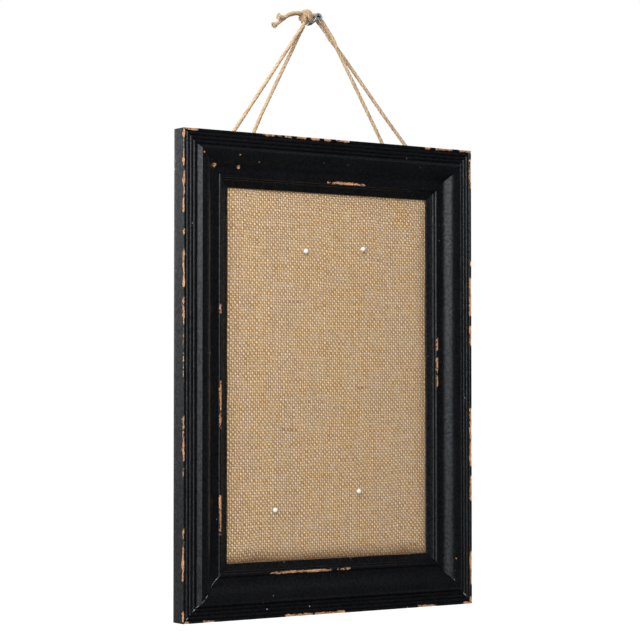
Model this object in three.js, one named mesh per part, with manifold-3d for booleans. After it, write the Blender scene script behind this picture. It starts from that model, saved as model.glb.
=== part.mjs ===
// Framed burlap memo board, hanging by a tied jute cord from a wall screw.
// Millimetres: X to the right, Y into the wall, Z up.
// The origin lies on the screw's axis, where the cord hangs over it.

import * as THREE from 'three';
import { mergeVertices } from 'three/addons/utils/BufferGeometryUtils.js';
import Module from 'manifold-3d';

const wasm = await Module();
wasm.setup();

// Frame outline
const FRAME_WIDTH = 303;
const FRAME_HEIGHT = 406;

// Bands of the moulding, from its outer edge to its sight edge
const REED_COUNT = 3;
const REED_WIDTH = 3.4;
const SHOULDER_WIDTH = 4.2;
const CREST_WIDTH = 7.2;
const OGEE_WIDTH = 10;
const OGEE_BEND = 3.5;
const HOLLOW_WIDTH = 3.8;
const BEAD_WIDTH = 3.6;
const FILLET_WIDTH = 1.1;
const BEVEL_WIDTH = 6.4;

// Heights of the moulding's face: depths count backwards from the crowns of the reeds
const REED_GROOVE_DEPTH = 1;
const CREST_RISE = 2.4;
const CREST_FALL = 0.9;
const HOLLOW_DEPTH = 4.5;
const BEAD_QUIRK = 0.3;
const SIGHT_DEPTH = 7.8;
const LIP_THICKNESS = 1.2;
const RABBET_WIDTH = 6;

// Layers in the rabbet
const BURLAP_THICKNESS = 0.8;
const BURLAP_HEM = 22;
const BOARD_THICKNESS = 3.5;
const BACKING_THICKNESS = 1.1;
const RABBET_CLEARANCE = 0.5;
const SEAT_GAP = 0.1;

// Fasteners of the frame
const POINT_THICKNESS = 0.4;
const POINT_WIDTH = 9;
const POINT_TAIL = 6;
const POINT_BITE = 7;
const POINT_SPACING = 100;
const POINTS_ON_RAIL = 2;
const POINTS_ON_STILE = 3;
const BACK_MARGIN = 1;
const NAIL_THICKNESS = 0.5;
const NAIL_LEG = 8;
const NAIL_HEIGHT = 7;
const NAIL_INSET = 24;
const MITRE_GAP = 0.3;
const FIT = 0.15;

// Screw eyes on the back of the top rail, each placed from the middle of the frame
const LEFT_OUTER_EYE = 96;
const LEFT_INNER_EYE = 79;
const RIGHT_INNER_EYE = 79;
const RIGHT_OUTER_EYE = 102;
const EYE_DROP = 14;
const EYE_WIRE = 2;
const EYE_HOLE = 5;
const EYE_NECK = 0.5;
const EYE_SHANK = 10;

// Hanging cord
const CORD_DIAMETER = 3;
const CORD_GAP = 0.3;
const CORD_LEAN = 9.5;
const CORD_SIDES = 8;
const HANG_HEIGHT = 107;
const KNOT_CORE = 11;
const KNOT_WRAP_RING = 4.5;
const KNOT_WRAP_STRAND = 3.6;
const KNOT_STRETCH = 1.1;
const KNOT_CENTRE = new THREE.Vector3(-9.2, 0, 2.8);
const KNOT_WRAP_TURNS = [[0, 0.4, 1.2], [0.9, 0, -0.9], [-1, 0.2, 0.5]];

// Wall screw
const SCREW_LENGTH = 20;
const SCREW_DIAMETER = 3.5;
const SCREW_HEAD_DIAMETER = 7.1;
const SCREW_HEAD_HEIGHT = 2.4;
const SCREW_HEAD_RIM = 0.4;
const SCREW_POINT = 6;
const SCREW_REACH = 8.4;
const SCREW_TILT = THREE.MathUtils.degToRad(17);
const RECESS_LENGTH = 3.8;
const RECESS_WIDTH = 0.9;
const RECESS_DEPTH = 1.6;

// Map pins, placed from the middle of the board
const PIN_HEAD = 4.2;
const PIN_NEEDLE = 0.9;
const PIN_STANDOFF = 0.8;
const PIN_GRIP = 3.9;
const PIN_SOCKET = 2;
const PIN_POINT = 1.6;
const PIN_PLACES = {
  upper_left: [-26, 106],
  upper_right: [34.5, 110],
  lower_left: [-57.5, -113.5],
  lower_right: [30, -100],
};

// Places that follow from the sizes above
const REEDS_WIDTH = REED_COUNT * REED_WIDTH;
const MOULDING_WIDTH = REEDS_WIDTH + SHOULDER_WIDTH + CREST_WIDTH + OGEE_WIDTH
  + HOLLOW_WIDTH + BEAD_WIDTH + FILLET_WIDTH + BEVEL_WIDTH;
const OPENING_WIDTH = FRAME_WIDTH - 2 * MOULDING_WIDTH;
const OPENING_HEIGHT = FRAME_HEIGHT - 2 * MOULDING_WIDTH;
const RABBET_DEPTH = SIGHT_DEPTH + LIP_THICKNESS;
const BURLAP_FRONT = RABBET_DEPTH + SEAT_GAP;
const BOARD_FRONT = BURLAP_FRONT + BURLAP_THICKNESS + SEAT_GAP;
const BOARD_BACK = BOARD_FRONT + BOARD_THICKNESS;
const BURLAP_BACK = BOARD_BACK + SEAT_GAP + BURLAP_THICKNESS;
const BACKING_FRONT = BURLAP_BACK + SEAT_GAP;
const BACKING_BACK = BACKING_FRONT + BACKING_THICKNESS;
const POINT_FRONT = BACKING_BACK + SEAT_GAP;
const POINT_BACK = POINT_FRONT + POINT_THICKNESS;
const FRAME_DEPTH = POINT_BACK + BACK_MARGIN;
const PANEL_WIDTH = OPENING_WIDTH + 2 * (RABBET_WIDTH - RABBET_CLEARANCE);
const PANEL_HEIGHT = OPENING_HEIGHT + 2 * (RABBET_WIDTH - RABBET_CLEARANCE);
const EYE_RING = (EYE_HOLE + EYE_WIRE) / 2;
const EYE_STANDOFF = EYE_NECK + EYE_RING + EYE_WIRE / 2;
const EYE_Y = -CORD_LEAN;
const EYE_Z = -HANG_HEIGHT - EYE_DROP;
const CORD_WRAP = (EYE_WIRE + CORD_DIAMETER) / 2 + CORD_GAP;

// Finishes
const finish = (color, roughness, metalness = 0) =>
  new THREE.MeshStandardMaterial({ color, roughness, metalness });
const blackPaint = finish(0x17181a, 0.45);
const burlapCloth = finish(0xb89468, 0.95);
const fibreboard = finish(0x9a7c55, 0.9);
const greyCard = finish(0x8b7a63, 0.85);
const zincSteel = finish(0x9aa0a6, 0.35, 1);
const brassWire = finish(0xa98b4e, 0.35, 1);
const juteCord = finish(0xc29a66, 0.9);
const whiteBead = finish(0xf2efe6, 0.2);

// Turns a closed geometry into a solid that can be cut and joined.
function solidOf(geometry) {
  geometry.deleteAttribute('normal');
  geometry.deleteAttribute('uv');
  const merged = mergeVertices(geometry);
  const corners = merged.index.array;
  const triangles = [];
  for (let i = 0; i < corners.length; i += 3) {
    const [a, b, c] = corners.slice(i, i + 3);
    if (a !== b && b !== c && c !== a) triangles.push(a, b, c);
  }
  return new wasm.Manifold(new wasm.Mesh({
    numProp: 3,
    vertProperties: merged.attributes.position.array,
    triVerts: Uint32Array.from(triangles),
  }));
}

// Turns a solid back into a geometry for a mesh.
function geometryOf(solid) {
  const { vertProperties, triVerts } = solid.getMesh();
  const geometry = new THREE.BufferGeometry();
  geometry.setAttribute('position', new THREE.BufferAttribute(vertProperties, 3));
  geometry.setIndex(new THREE.BufferAttribute(triVerts, 1));
  geometry.computeVertexNormals();
  return geometry;
}

// A box between two depths, centred on x and z.
function slab(width, front, back, height, x = 0, z = 0) {
  return new THREE.BoxGeometry(width, back - front, height).translate(x, (front + back) / 2, z);
}

// A round rod along Y between two depths.
function rod(radius, front, back, x, z, sides = 12) {
  return new THREE.CylinderGeometry(radius, radius, back - front, sides)
    .translate(x, (front + back) / 2, z);
}

// Adds one named piece to a group.
function addPiece(parent, name, geometry, material) {
  const mesh = new THREE.Mesh(geometry, material);
  mesh.name = name;
  parent.add(mesh);
  return mesh;
}

// Adds a half-round ridge to an outline, from its last point across the given width.
function halfRound(outline, start, width, foot, rise) {
  const radius = (width * width / 4 + rise * rise) / (2 * rise);
  const middle = start + width / 2;
  const centre = foot - rise + radius;
  const halfAngle = Math.asin(Math.min(1, width / 2 / radius));
  outline.absarc(middle, centre, radius, -Math.PI / 2 - halfAngle, -Math.PI / 2 + halfAngle, false);
}

// Section of the moulding: x runs inwards from the outer edge, y runs backwards from the reeds.
function mouldingSection() {
  const outline = new THREE.Shape();
  outline.moveTo(0, FRAME_DEPTH);
  outline.lineTo(0, REED_GROOVE_DEPTH);
  for (let i = 0; i < REED_COUNT; i += 1) {
    halfRound(outline, i * REED_WIDTH, REED_WIDTH, REED_GROOVE_DEPTH, REED_GROOVE_DEPTH);
  }
  const crest = REEDS_WIDTH + SHOULDER_WIDTH;
  const ogee = crest + CREST_WIDTH;
  const hollow = ogee + OGEE_WIDTH;
  const bead = hollow + HOLLOW_WIDTH;
  const fillet = bead + BEAD_WIDTH;
  const ogeeTop = CREST_FALL - CREST_RISE;
  const beadFoot = HOLLOW_DEPTH + BEAD_QUIRK;
  outline.lineTo(crest, -CREST_RISE);
  outline.quadraticCurveTo(crest + CREST_WIDTH / 2, -CREST_RISE, ogee, ogeeTop);
  outline.bezierCurveTo(ogee + OGEE_BEND, ogeeTop + CREST_FALL, hollow - OGEE_BEND,
    HOLLOW_DEPTH, hollow, HOLLOW_DEPTH);
  outline.lineTo(bead, HOLLOW_DEPTH);
  outline.lineTo(bead, beadFoot);
  halfRound(outline, bead, BEAD_WIDTH, beadFoot, BEAD_WIDTH / 2);
  outline.lineTo(fillet + FILLET_WIDTH, beadFoot);
  outline.lineTo(MOULDING_WIDTH, SIGHT_DEPTH);
  outline.lineTo(MOULDING_WIDTH, RABBET_DEPTH);
  outline.lineTo(MOULDING_WIDTH - RABBET_WIDTH, RABBET_DEPTH);
  outline.lineTo(MOULDING_WIDTH - RABBET_WIDTH, FRAME_DEPTH);
  return outline;
}

// One length of moulding along X with both ends mitred, its outer edge up and offset from the middle.
function mitredMoulding(length, offset) {
  const geometry = new THREE.ExtrudeGeometry(mouldingSection(), {
    depth: 1, bevelEnabled: false, curveSegments: 6,
  });
  const place = geometry.attributes.position;
  for (let i = 0; i < place.count; i += 1) {
    const inwards = place.getX(i);
    const side = place.getZ(i) > 0.5 ? 1 : -1;
    const reach = length / 2 - inwards - MITRE_GAP / Math.SQRT2;
    place.setXYZ(i, side * reach, place.getY(i), offset - inwards);
  }
  return geometry;
}

// The four lengths of the frame: the turn about Y carries the top length to each side.
const LENGTHS = {
  top_rail: { turn: 0, length: FRAME_WIDTH, offset: FRAME_HEIGHT / 2, points: POINTS_ON_RAIL },
  right_stile: { turn: 90, length: FRAME_HEIGHT, offset: FRAME_WIDTH / 2, points: POINTS_ON_STILE },
  bottom_rail: { turn: 180, length: FRAME_WIDTH, offset: FRAME_HEIGHT / 2, points: POINTS_ON_RAIL },
  left_stile: { turn: 270, length: FRAME_HEIGHT, offset: FRAME_WIDTH / 2, points: POINTS_ON_STILE },
};
const EYES = {
  left_outer: -LEFT_OUTER_EYE,
  left_inner: -LEFT_INNER_EYE,
  right_inner: RIGHT_INNER_EYE,
  right_outer: RIGHT_OUTER_EYE,
};
const CORNERS = {
  top_left: [-1, 1],
  top_right: [1, 1],
  bottom_left: [-1, -1],
  bottom_right: [1, -1],
};

// A framer's point: a flat pointed plate lying over the backing and driven outwards into the rabbet.
function framersPoint(offset, along) {
  const wall = offset - MOULDING_WIDTH + RABBET_WIDTH;
  const outline = new THREE.Shape();
  outline.moveTo(along - POINT_WIDTH / 2, wall - POINT_TAIL);
  outline.lineTo(along + POINT_WIDTH / 2, wall - POINT_TAIL);
  outline.lineTo(along + POINT_WIDTH / 2, wall);
  outline.lineTo(along, wall + POINT_BITE);
  outline.lineTo(along - POINT_WIDTH / 2, wall);
  return new THREE.ExtrudeGeometry(outline, { depth: POINT_THICKNESS, bevelEnabled: false })
    .rotateX(Math.PI / 2)
    .translate(0, POINT_BACK, 0);
}

// The slit that a framer's point cuts into the rabbet wall.
function pointSlit(offset, along) {
  const wall = offset - MOULDING_WIDTH + RABBET_WIDTH;
  const bite = POINT_BITE + FIT;
  return slab(POINT_WIDTH + 2 * FIT, POINT_FRONT - FIT, POINT_BACK + FIT, 2 * bite, along, wall);
}

// A corner nail: an angle strip across the mitre, driven in from the back.
function cornerNail(signX, signZ, slack) {
  const half = NAIL_THICKNESS / 2 + slack;
  const leg = NAIL_LEG + slack;
  const outline = new THREE.Shape();
  outline.moveTo(-half, -half);
  outline.lineTo(leg, -half);
  outline.lineTo(leg, half);
  outline.lineTo(half, half);
  outline.lineTo(half, leg);
  outline.lineTo(-half, leg);
  const turn = { '1,1': 0, '-1,1': 90, '-1,-1': 180, '1,-1': 270 }[`${signX},${signZ}`];
  return new THREE.ExtrudeGeometry(outline, { depth: NAIL_HEIGHT + slack, bevelEnabled: false })
    .rotateZ(THREE.MathUtils.degToRad(turn))
    .rotateX(Math.PI / 2)
    .translate(
      signX * (FRAME_WIDTH / 2 - NAIL_INSET),
      FRAME_DEPTH,
      signZ * (FRAME_HEIGHT / 2 - NAIL_INSET),
    );
}

// Places of the framer's points along one length.
function pointPlaces(count) {
  return Array.from({ length: count }, (_, i) => (i - (count - 1) / 2) * POINT_SPACING);
}

// Frame: four mitred lengths, slotted for their points, corner nails and screw eyes.
function addFrame(parent) {
  for (const [name, { turn, length, offset, points }] of Object.entries(LENGTHS)) {
    const angle = THREE.MathUtils.degToRad(turn);
    let rail = solidOf(mitredMoulding(length, offset).rotateY(angle));
    pointPlaces(points).forEach((along, i) => {
      rail = rail.subtract(solidOf(pointSlit(offset, along).rotateY(angle)));
      addPiece(parent, `framers_point_${name}_${i + 1}`, framersPoint(offset, along).rotateY(angle), zincSteel);
    });
    for (const [signX, signZ] of Object.values(CORNERS)) {
      rail = rail.subtract(solidOf(cornerNail(signX, signZ, FIT)));
    }
    if (name === 'top_rail') {
      for (const x of Object.values(EYES)) {
        const bottom = FRAME_DEPTH - EYE_SHANK - FIT;
        const hole = rod(EYE_WIRE / 2 + FIT, bottom, FRAME_DEPTH + FIT, x, FRAME_HEIGHT / 2 - EYE_DROP);
        rail = rail.subtract(solidOf(hole));
      }
    }
    addPiece(parent, name, geometryOf(rail), blackPaint);
  }
  for (const [name, [signX, signZ]] of Object.entries(CORNERS)) {
    addPiece(parent, `corner_nail_${name}`, cornerNail(signX, signZ, 0), zincSteel);
  }
}

// Panel: the pin board, the burlap folded round it and the card behind it.
function addPanel(parent) {
  const wrap = 2 * (BURLAP_THICKNESS + SEAT_GAP);
  const boardWidth = PANEL_WIDTH - wrap;
  const boardHeight = PANEL_HEIGHT - wrap;
  let board = solidOf(slab(boardWidth, BOARD_FRONT, BOARD_BACK, boardHeight));
  const space = slab(boardWidth + 2 * SEAT_GAP, BOARD_FRONT - SEAT_GAP, BOARD_BACK + SEAT_GAP,
    boardHeight + 2 * SEAT_GAP);
  const window = slab(PANEL_WIDTH - 2 * BURLAP_HEM, BOARD_BACK, BURLAP_BACK + SEAT_GAP,
    PANEL_HEIGHT - 2 * BURLAP_HEM);
  let burlap = solidOf(slab(PANEL_WIDTH, BURLAP_FRONT, BURLAP_BACK, PANEL_HEIGHT))
    .subtract(solidOf(space))
    .subtract(solidOf(window));
  for (const [x, z] of Object.values(PIN_PLACES)) {
    const hole = rod(PIN_NEEDLE / 2 + FIT, BURLAP_FRONT - FIT, BOARD_BACK + FIT, x, z, 8);
    board = board.subtract(solidOf(hole.clone()));
    burlap = burlap.subtract(solidOf(hole));
  }
  addPiece(parent, 'pin_board', geometryOf(board), fibreboard);
  addPiece(parent, 'burlap_cover', geometryOf(burlap), burlapCloth);
  addPiece(parent, 'backing_card', slab(PANEL_WIDTH, BACKING_FRONT, BACKING_BACK, PANEL_HEIGHT), greyCard);
}

// Screw eyes: a ring of wire across the cord, with its shank in the top rail.
function addEyes(parent) {
  const centre = FRAME_DEPTH + EYE_STANDOFF;
  for (const [name, x] of Object.entries(EYES)) {
    const section = new THREE.EllipseCurve(EYE_RING, 0, EYE_WIRE / 2, EYE_WIRE / 2).getPoints(8);
    const ring = new THREE.LatheGeometry(section, 20).rotateZ(Math.PI / 2);
    const shankEnd = FRAME_DEPTH - EYE_SHANK;
    const shank = rod(EYE_WIRE / 2, shankEnd, centre - EYE_RING, 0, 0);
    const eye = solidOf(ring.translate(0, centre, 0)).add(solidOf(shank));
    const mesh = addPiece(parent, `screw_eye_${name}`, geometryOf(eye), brassWire);
    mesh.position.set(x, 0, FRAME_HEIGHT / 2 - EYE_DROP);
  }
}

// Map pins: a bored ball head on a pointed needle, pushed through the burlap into the board.
function addPins(parent) {
  const radius = PIN_HEAD / 2;
  const bore = PIN_NEEDLE / 2 + FIT;
  const boreAngle = Math.asin(bore / radius);
  const ball = new THREE.EllipseCurve(0, 0, radius, radius, boreAngle - Math.PI / 2, Math.PI / 2).getPoints(12);
  const boreEnd = PIN_SOCKET - radius + FIT;
  const headProfile = [new THREE.Vector2(0, boreEnd), new THREE.Vector2(bore, boreEnd), ...ball];
  headProfile[headProfile.length - 1].x = 0;
  const tip = -radius - PIN_STANDOFF - PIN_GRIP;
  const needleProfile = [
    new THREE.Vector2(0, tip),
    new THREE.Vector2(PIN_NEEDLE / 2, tip + PIN_POINT),
    new THREE.Vector2(PIN_NEEDLE / 2, PIN_SOCKET - radius),
    new THREE.Vector2(0, PIN_SOCKET - radius),
  ];
  for (const [name, [x, z]] of Object.entries(PIN_PLACES)) {
    const pin = new THREE.Group();
    pin.position.set(x, BURLAP_FRONT - PIN_STANDOFF - radius, z);
    pin.rotation.x = Math.PI;
    parent.add(pin);
    addPiece(pin, `pin_head_${name}`, new THREE.LatheGeometry(headProfile, 16), whiteBead);
    addPiece(pin, `pin_needle_${name}`, new THREE.LatheGeometry(needleProfile, 8), zincSteel);
  }
}

// A route that takes one tube step to each of its points.
class Route extends THREE.Curve {
  constructor(points) {
    super();
    this.points = points;
  }

  getPoint(t, target = new THREE.Vector3()) {
    const place = t * (this.points.length - 1);
    const i = Math.min(Math.floor(place), this.points.length - 2);
    return target.lerpVectors(this.points[i], this.points[i + 1], place - i);
  }

  getPointAt(t, target) {
    return this.getPoint(t, target);
  }

  getTangentAt(t, target = new THREE.Vector3()) {
    const i = Math.round(t * (this.points.length - 1));
    const ahead = this.points[Math.min(i + 1, this.points.length - 1)];
    const behind = this.points[Math.max(i - 1, 0)];
    const here = this.points[i];
    const leaving = ahead.clone().sub(here).normalize();
    const arriving = here.clone().sub(behind).normalize();
    return target.addVectors(leaving, arriving).normalize();
  }
}

// The cord's turn under an eye's wire, on the given side and between two angles.
function eyeTurn(x, side, from, to, steps) {
  return Array.from({ length: steps + 1 }, (_, i) => {
    const angle = THREE.MathUtils.degToRad(from + (to - from) * i / steps);
    return [x + side * CORD_WRAP * Math.cos(angle), EYE_Y, EYE_Z + EYE_RING + CORD_WRAP * Math.sin(angle)];
  });
}

// Right loop: from the knot over the screw, through both right eyes and back over the screw.
const RIGHT_LOOP = [
  [-2.7, -1.9, 4.2], [0.4, -1.9, 4.5], [3.4, -1.9, 3.2], [7.9, -1.9, -0.6],
  [12.1, -2, -6.1], [19.2, -2.8, -15.9], [22.6, -3.3, -23.4], [39.1, -5.2, -52.5], [54.7, -7, -79.8],
  ...eyeTurn(RIGHT_INNER_EYE, 1, 208, 270, 3),
  ...eyeTurn(RIGHT_OUTER_EYE, 1, 270, 401, 6),
  [71.9, -5.6, -78.4], [32.3, -0.8, -30.4], [25.5, 0.2, -22.6], [18.6, 0.8, -15.5],
  [10.7, 1.7, -5.5], [4.8, 1.9, 0.4], [3, 1.9, 2.5], [0.4, 1.9, 3.4], [-2.7, 1.9, 3.2],
];

// Left loop: from the knot through both left eyes and back to the knot.
const LEFT_LOOP = [
  [-9.4, 1.8, -4.1], [-23.2, -0.5, -27.5], [-60.1, -6.6, -88.3],
  ...eyeTurn(-LEFT_INNER_EYE, -1, 208, 270, 3),
  ...eyeTurn(-LEFT_OUTER_EYE, -1, 270, 399, 6),
  [-77.7, -7.6, -89.8], [-30.5, -3.5, -28.5], [-11.4, -1.7, -3.7],
];

// The two cut ends, standing out of the knot to the left.
const UPPER_TAIL = [
  [-16, -1.8, 5.1], [-21.7, -1.8, 4.3], [-27.2, -1.7, 2.7], [-31.8, -1.7, 0.2], [-35.4, -1.9, -0.8],
  [-39, -2.2, -0.4],
];
const LOWER_TAIL = [
  [-15.9, 1.8, 4.7], [-21.7, 1.8, 3.6], [-27.1, 1.7, 1.5], [-32, 1.5, -2], [-37, 1.2, -5.4],
  [-41.7, 1, -8],
];

// Hanging cord: tubes along the routes, and the knot that ties them together.
function addCord(parent) {
  const radius = CORD_DIAMETER / 2;
  const section = new THREE.Shape(
    new THREE.EllipseCurve(0, 0, radius, radius).getPoints(CORD_SIDES).slice(0, CORD_SIDES),
  );
  const stretches = {
    cord_right_loop: RIGHT_LOOP,
    cord_left_loop: LEFT_LOOP,
    cord_tail_upper: UPPER_TAIL,
    cord_tail_lower: LOWER_TAIL,
  };
  for (const [name, route] of Object.entries(stretches)) {
    const path = new Route(route.map((point) => new THREE.Vector3(...point)));
    const tube = new THREE.ExtrudeGeometry(section, { steps: route.length - 1, extrudePath: path });
    addPiece(parent, name, tube, juteCord);
  }
  const strand = KNOT_WRAP_STRAND / 2;
  const wrapSection = new THREE.EllipseCurve(KNOT_WRAP_RING, 0, strand, strand).getPoints(8);
  let knot = solidOf(new THREE.SphereGeometry(KNOT_CORE / 2, 14, 10));
  for (const turn of KNOT_WRAP_TURNS) {
    const wrap = new THREE.LatheGeometry(wrapSection, 18);
    wrap.applyMatrix4(new THREE.Matrix4().makeRotationFromEuler(new THREE.Euler(...turn)));
    knot = knot.add(solidOf(wrap));
  }
  const tied = geometryOf(knot).scale(KNOT_STRETCH, 1, 1);
  addPiece(parent, 'cord_knot', tied, juteCord).position.copy(KNOT_CENTRE);
}

// Wall screw: countersunk, with a cross recess, its head tilted up.
function addScrew(parent) {
  const radius = SCREW_DIAMETER / 2;
  const headRadius = SCREW_HEAD_DIAMETER / 2;
  const tip = SCREW_REACH - SCREW_LENGTH;
  const profile = [
    new THREE.Vector2(0, tip),
    new THREE.Vector2(radius, tip + SCREW_POINT),
    new THREE.Vector2(radius, SCREW_REACH - SCREW_HEAD_HEIGHT),
    new THREE.Vector2(headRadius, SCREW_REACH - SCREW_HEAD_RIM),
    new THREE.Vector2(headRadius, SCREW_REACH),
    new THREE.Vector2(0, SCREW_REACH),
  ];
  let screw = solidOf(new THREE.LatheGeometry(profile, 20));
  for (const [width, height] of [[RECESS_LENGTH, RECESS_WIDTH], [RECESS_WIDTH, RECESS_LENGTH]]) {
    const slot = slab(width, SCREW_REACH - RECESS_DEPTH, SCREW_REACH + FIT, height);
    screw = screw.subtract(solidOf(slot));
  }
  const mesh = addPiece(parent, 'wall_screw', geometryOf(screw), zincSteel);
  mesh.rotation.x = Math.PI - SCREW_TILT;
}

const memoBoard = new THREE.Group();
const board = new THREE.Group();
board.position.set(0, EYE_Y - EYE_STANDOFF - FRAME_DEPTH, -HANG_HEIGHT - FRAME_HEIGHT / 2);
memoBoard.add(board);
addScrew(memoBoard);
addCord(memoBoard);
addFrame(board);
addPanel(board);
addEyes(board);
addPins(board);

export default memoBoard;
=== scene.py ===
"""Looks of a framed burlap memo board that hangs by a jute cord from a wall screw.

Each piece is a numpy surface in metres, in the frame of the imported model: X to the right, Y into the wall,
Z up, with the origin where the cord hangs over the screw.
"""

import bpy
import numpy as np
from bpy.props import FloatProperty, FloatVectorProperty, IntProperty, PointerProperty
from mathutils import Euler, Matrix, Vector


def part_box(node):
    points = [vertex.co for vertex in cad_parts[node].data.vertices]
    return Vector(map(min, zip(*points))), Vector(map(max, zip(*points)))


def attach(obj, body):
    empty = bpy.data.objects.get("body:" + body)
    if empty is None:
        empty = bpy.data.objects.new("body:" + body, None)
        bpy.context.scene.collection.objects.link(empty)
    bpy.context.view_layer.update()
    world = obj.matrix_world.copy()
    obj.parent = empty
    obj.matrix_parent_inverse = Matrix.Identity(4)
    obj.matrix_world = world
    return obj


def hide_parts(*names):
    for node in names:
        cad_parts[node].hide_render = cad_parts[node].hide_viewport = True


bl_info = {
    "name": "Burlap memo board",
    "version": (1, 0, 0),
    "blender": (4, 5, 0),
    "location": "3D View > Sidebar > Memo Board",
    "description": "Dresses a framed burlap memo board: moulding, cloth, cord, pins and hardware",
    "category": "Object",
}

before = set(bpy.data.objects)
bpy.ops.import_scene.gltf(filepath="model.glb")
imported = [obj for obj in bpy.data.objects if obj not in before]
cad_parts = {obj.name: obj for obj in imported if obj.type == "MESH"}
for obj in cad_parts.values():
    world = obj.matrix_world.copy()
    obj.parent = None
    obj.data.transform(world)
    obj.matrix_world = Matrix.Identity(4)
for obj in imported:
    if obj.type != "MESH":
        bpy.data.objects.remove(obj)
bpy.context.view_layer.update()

MM = 0.001
TURN = 2 * np.pi
LATTICE = 97  # random numbers along each side of a cloud's lattice
SHARP = np.radians(38)  # edges that turn by more than this stay sharp
LIP_COVER = 6 * MM  # how far the lip covers the cloth
KNOT_TWISTS = 13  # full twists of the plies along a strand of the knot
SECTION_FRONT = slice(9, -6)  # points of the moulding's section between its outer edge and its sight edge

# Points round each section, and along a fibre
CORD_COLUMNS, KNOT_COLUMNS, CORE_COLUMNS, EYE_COLUMNS, SCREW_COLUMNS, HAIR_COLUMNS = 24, 18, 24, 14, 72, 3
HAIR_ROWS = 7

FRAME_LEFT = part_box("left_stile")[0].x
FRAME_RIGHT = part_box("right_stile")[1].x
FRAME_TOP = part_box("top_rail")[1].z
FRAME_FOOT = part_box("bottom_rail")[0].z
FRAME_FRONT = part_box("left_stile")[0].y
FRAME_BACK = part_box("left_stile")[1].y
PANEL_LOW, PANEL_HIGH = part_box("burlap_cover")

# The four lengths of the frame, by their turn about Y from the top one
LENGTHS = {"top_rail": 0, "right_stile": 90, "bottom_rail": 180, "left_stile": 270}

# Rubbed places on each length of the frame and band of its moulding: where each starts and ends as a share of
# the length, read from the left or from the top, and how deep it goes
RUBS = {
    ("left_stile", "edge"): [
        (0.0, 0.02, 0.95), (0.02, 0.06, 0.4), (0.06, 0.078, 1.0), (0.078, 0.1, 0.75), (0.1, 0.172, 0.9),
        (0.205, 0.216, 0.8), (0.246, 0.323, 1.05), (0.344, 0.4, 0.95), (0.4, 0.541, 0.35),
        (0.583, 0.674, 1.0), (0.684, 0.704, 0.5), (0.807, 0.914, 0.85), (0.972, 0.996, 0.9),
    ],
    ("left_stile", "bead"): [
        (0.354, 0.374, 0.8), (0.511, 0.572, 0.85), (0.575, 0.613, 0.5), (0.745, 0.826, 0.8),
    ],
    ("top_rail", "edge"): [
        (0.0, 0.045, 0.75), (0.251, 0.32, 0.4), (0.329, 0.353, 0.95), (0.37, 0.404, 0.95),
        (0.418, 0.449, 0.95), (0.466, 0.487, 0.9), (0.505, 0.554, 0.85), (0.828, 0.847, 0.9),
        (0.866, 0.931, 0.95), (0.954, 1.0, 1.0),
    ],
    ("top_rail", "bead"): [(0.48, 0.614, 0.95)],
    ("bottom_rail", "edge"): [
        (0.0, 0.018, 1.0), (0.062, 0.1, 0.95), (0.333, 0.425, 1.05), (0.43, 0.537, 1.0), (0.797, 0.866, 1.05),
        (0.97, 1.0, 1.0),
    ],
    ("bottom_rail", "bead"): [(0.283, 0.353, 0.75), (0.353, 0.453, 1.05), (0.453, 0.561, 0.65)],
    ("right_stile", "edge"): [
        (0.0, 0.006, 1.1), (0.02, 0.085, 0.9), (0.246, 0.256, 1.1), (0.282, 0.366, 1.15), (0.388, 0.432, 1.1),
        (0.57, 0.698, 1.2), (0.718, 0.774, 1.05), (0.885, 0.958, 1.35), (0.985, 1.0, 1.2),
    ],
    ("right_stile", "bead"): [(0.416, 0.443, 0.9), (0.46, 0.522, 0.95)],
}

# Pale scuffs on the side of a length: where each starts and ends, and how far it lies from the back
SCUFFS = {"left_stile": [(0.045, 0.07, 1.6 * MM), (0.08, 0.087, 1.4 * MM), (0.026, 0.029, 1.8 * MM)]}

# Chipped spots on each length: the place along it as a share, inwards from its edge, and the radius
CHIPS = {
    "left_stile": [(0.0478, 17.9 * MM, 0.9 * MM)],
    "top_rail": [(0.1, 29.2 * MM, 1.7 * MM), (0.182, 29.6 * MM, 1.5 * MM), (0.175, 19.9 * MM, 0.8 * MM)],
    "right_stile": [(0.898, 20.2 * MM, 0.9 * MM)],
}

# The cord's route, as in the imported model, in millimetres from the place where it hangs
UPPER_TAIL = [
    (-16, -1.8, 5.1), (-21.7, -1.8, 4.3), (-27.2, -1.7, 2.7), (-31.8, -1.7, 0.2), (-35.4, -1.9, -0.8),
    (-39, -2.2, -0.4),
]
RIGHT_LOOP_OUT = [
    (-2.7, -1.9, 4.2), (0.4, -1.9, 4.5), (3.4, -1.9, 3.2), (7.9, -1.9, -0.6), (12.1, -2, -6.1),
    (19.2, -2.8, -15.9), (22.6, -3.3, -23.4), (39.1, -5.2, -52.5), (54.7, -7, -79.8),
]
RIGHT_LOOP_BACK = [
    (71.9, -5.6, -78.4), (32.3, -0.8, -30.4), (25.5, 0.2, -22.6), (18.6, 0.8, -15.5), (10.7, 1.7, -5.5),
    (4.8, 1.9, 0.4), (3, 1.9, 2.5), (0.4, 1.9, 3.4), (-2.7, 1.9, 3.2),
]
LEFT_LOOP_OUT = [(-9.4, 1.8, -4.1), (-23.2, -0.5, -27.5), (-60.1, -6.6, -88.3)]
LEFT_LOOP_BACK = [(-77.7, -7.6, -89.8), (-30.5, -3.5, -28.5), (-11.4, -1.7, -3.7)]
LOWER_TAIL = [
    (-15.9, 1.8, 4.7), (-21.7, 1.8, 3.6), (-27.1, 1.7, 1.5), (-32, 1.5, -2), (-37, 1.2, -5.4), (-41.7, 1, -8),
]
KNOT_FIRST_PASS = [(-5.8, 1.8, 2.9), (-8.4, 1.7, 1), (-9.1, 1.7, -1.6)]
KNOT_SECOND_PASS = [(-10.4, -1, -1), (-11.6, 0.7, 2.4)]


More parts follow.
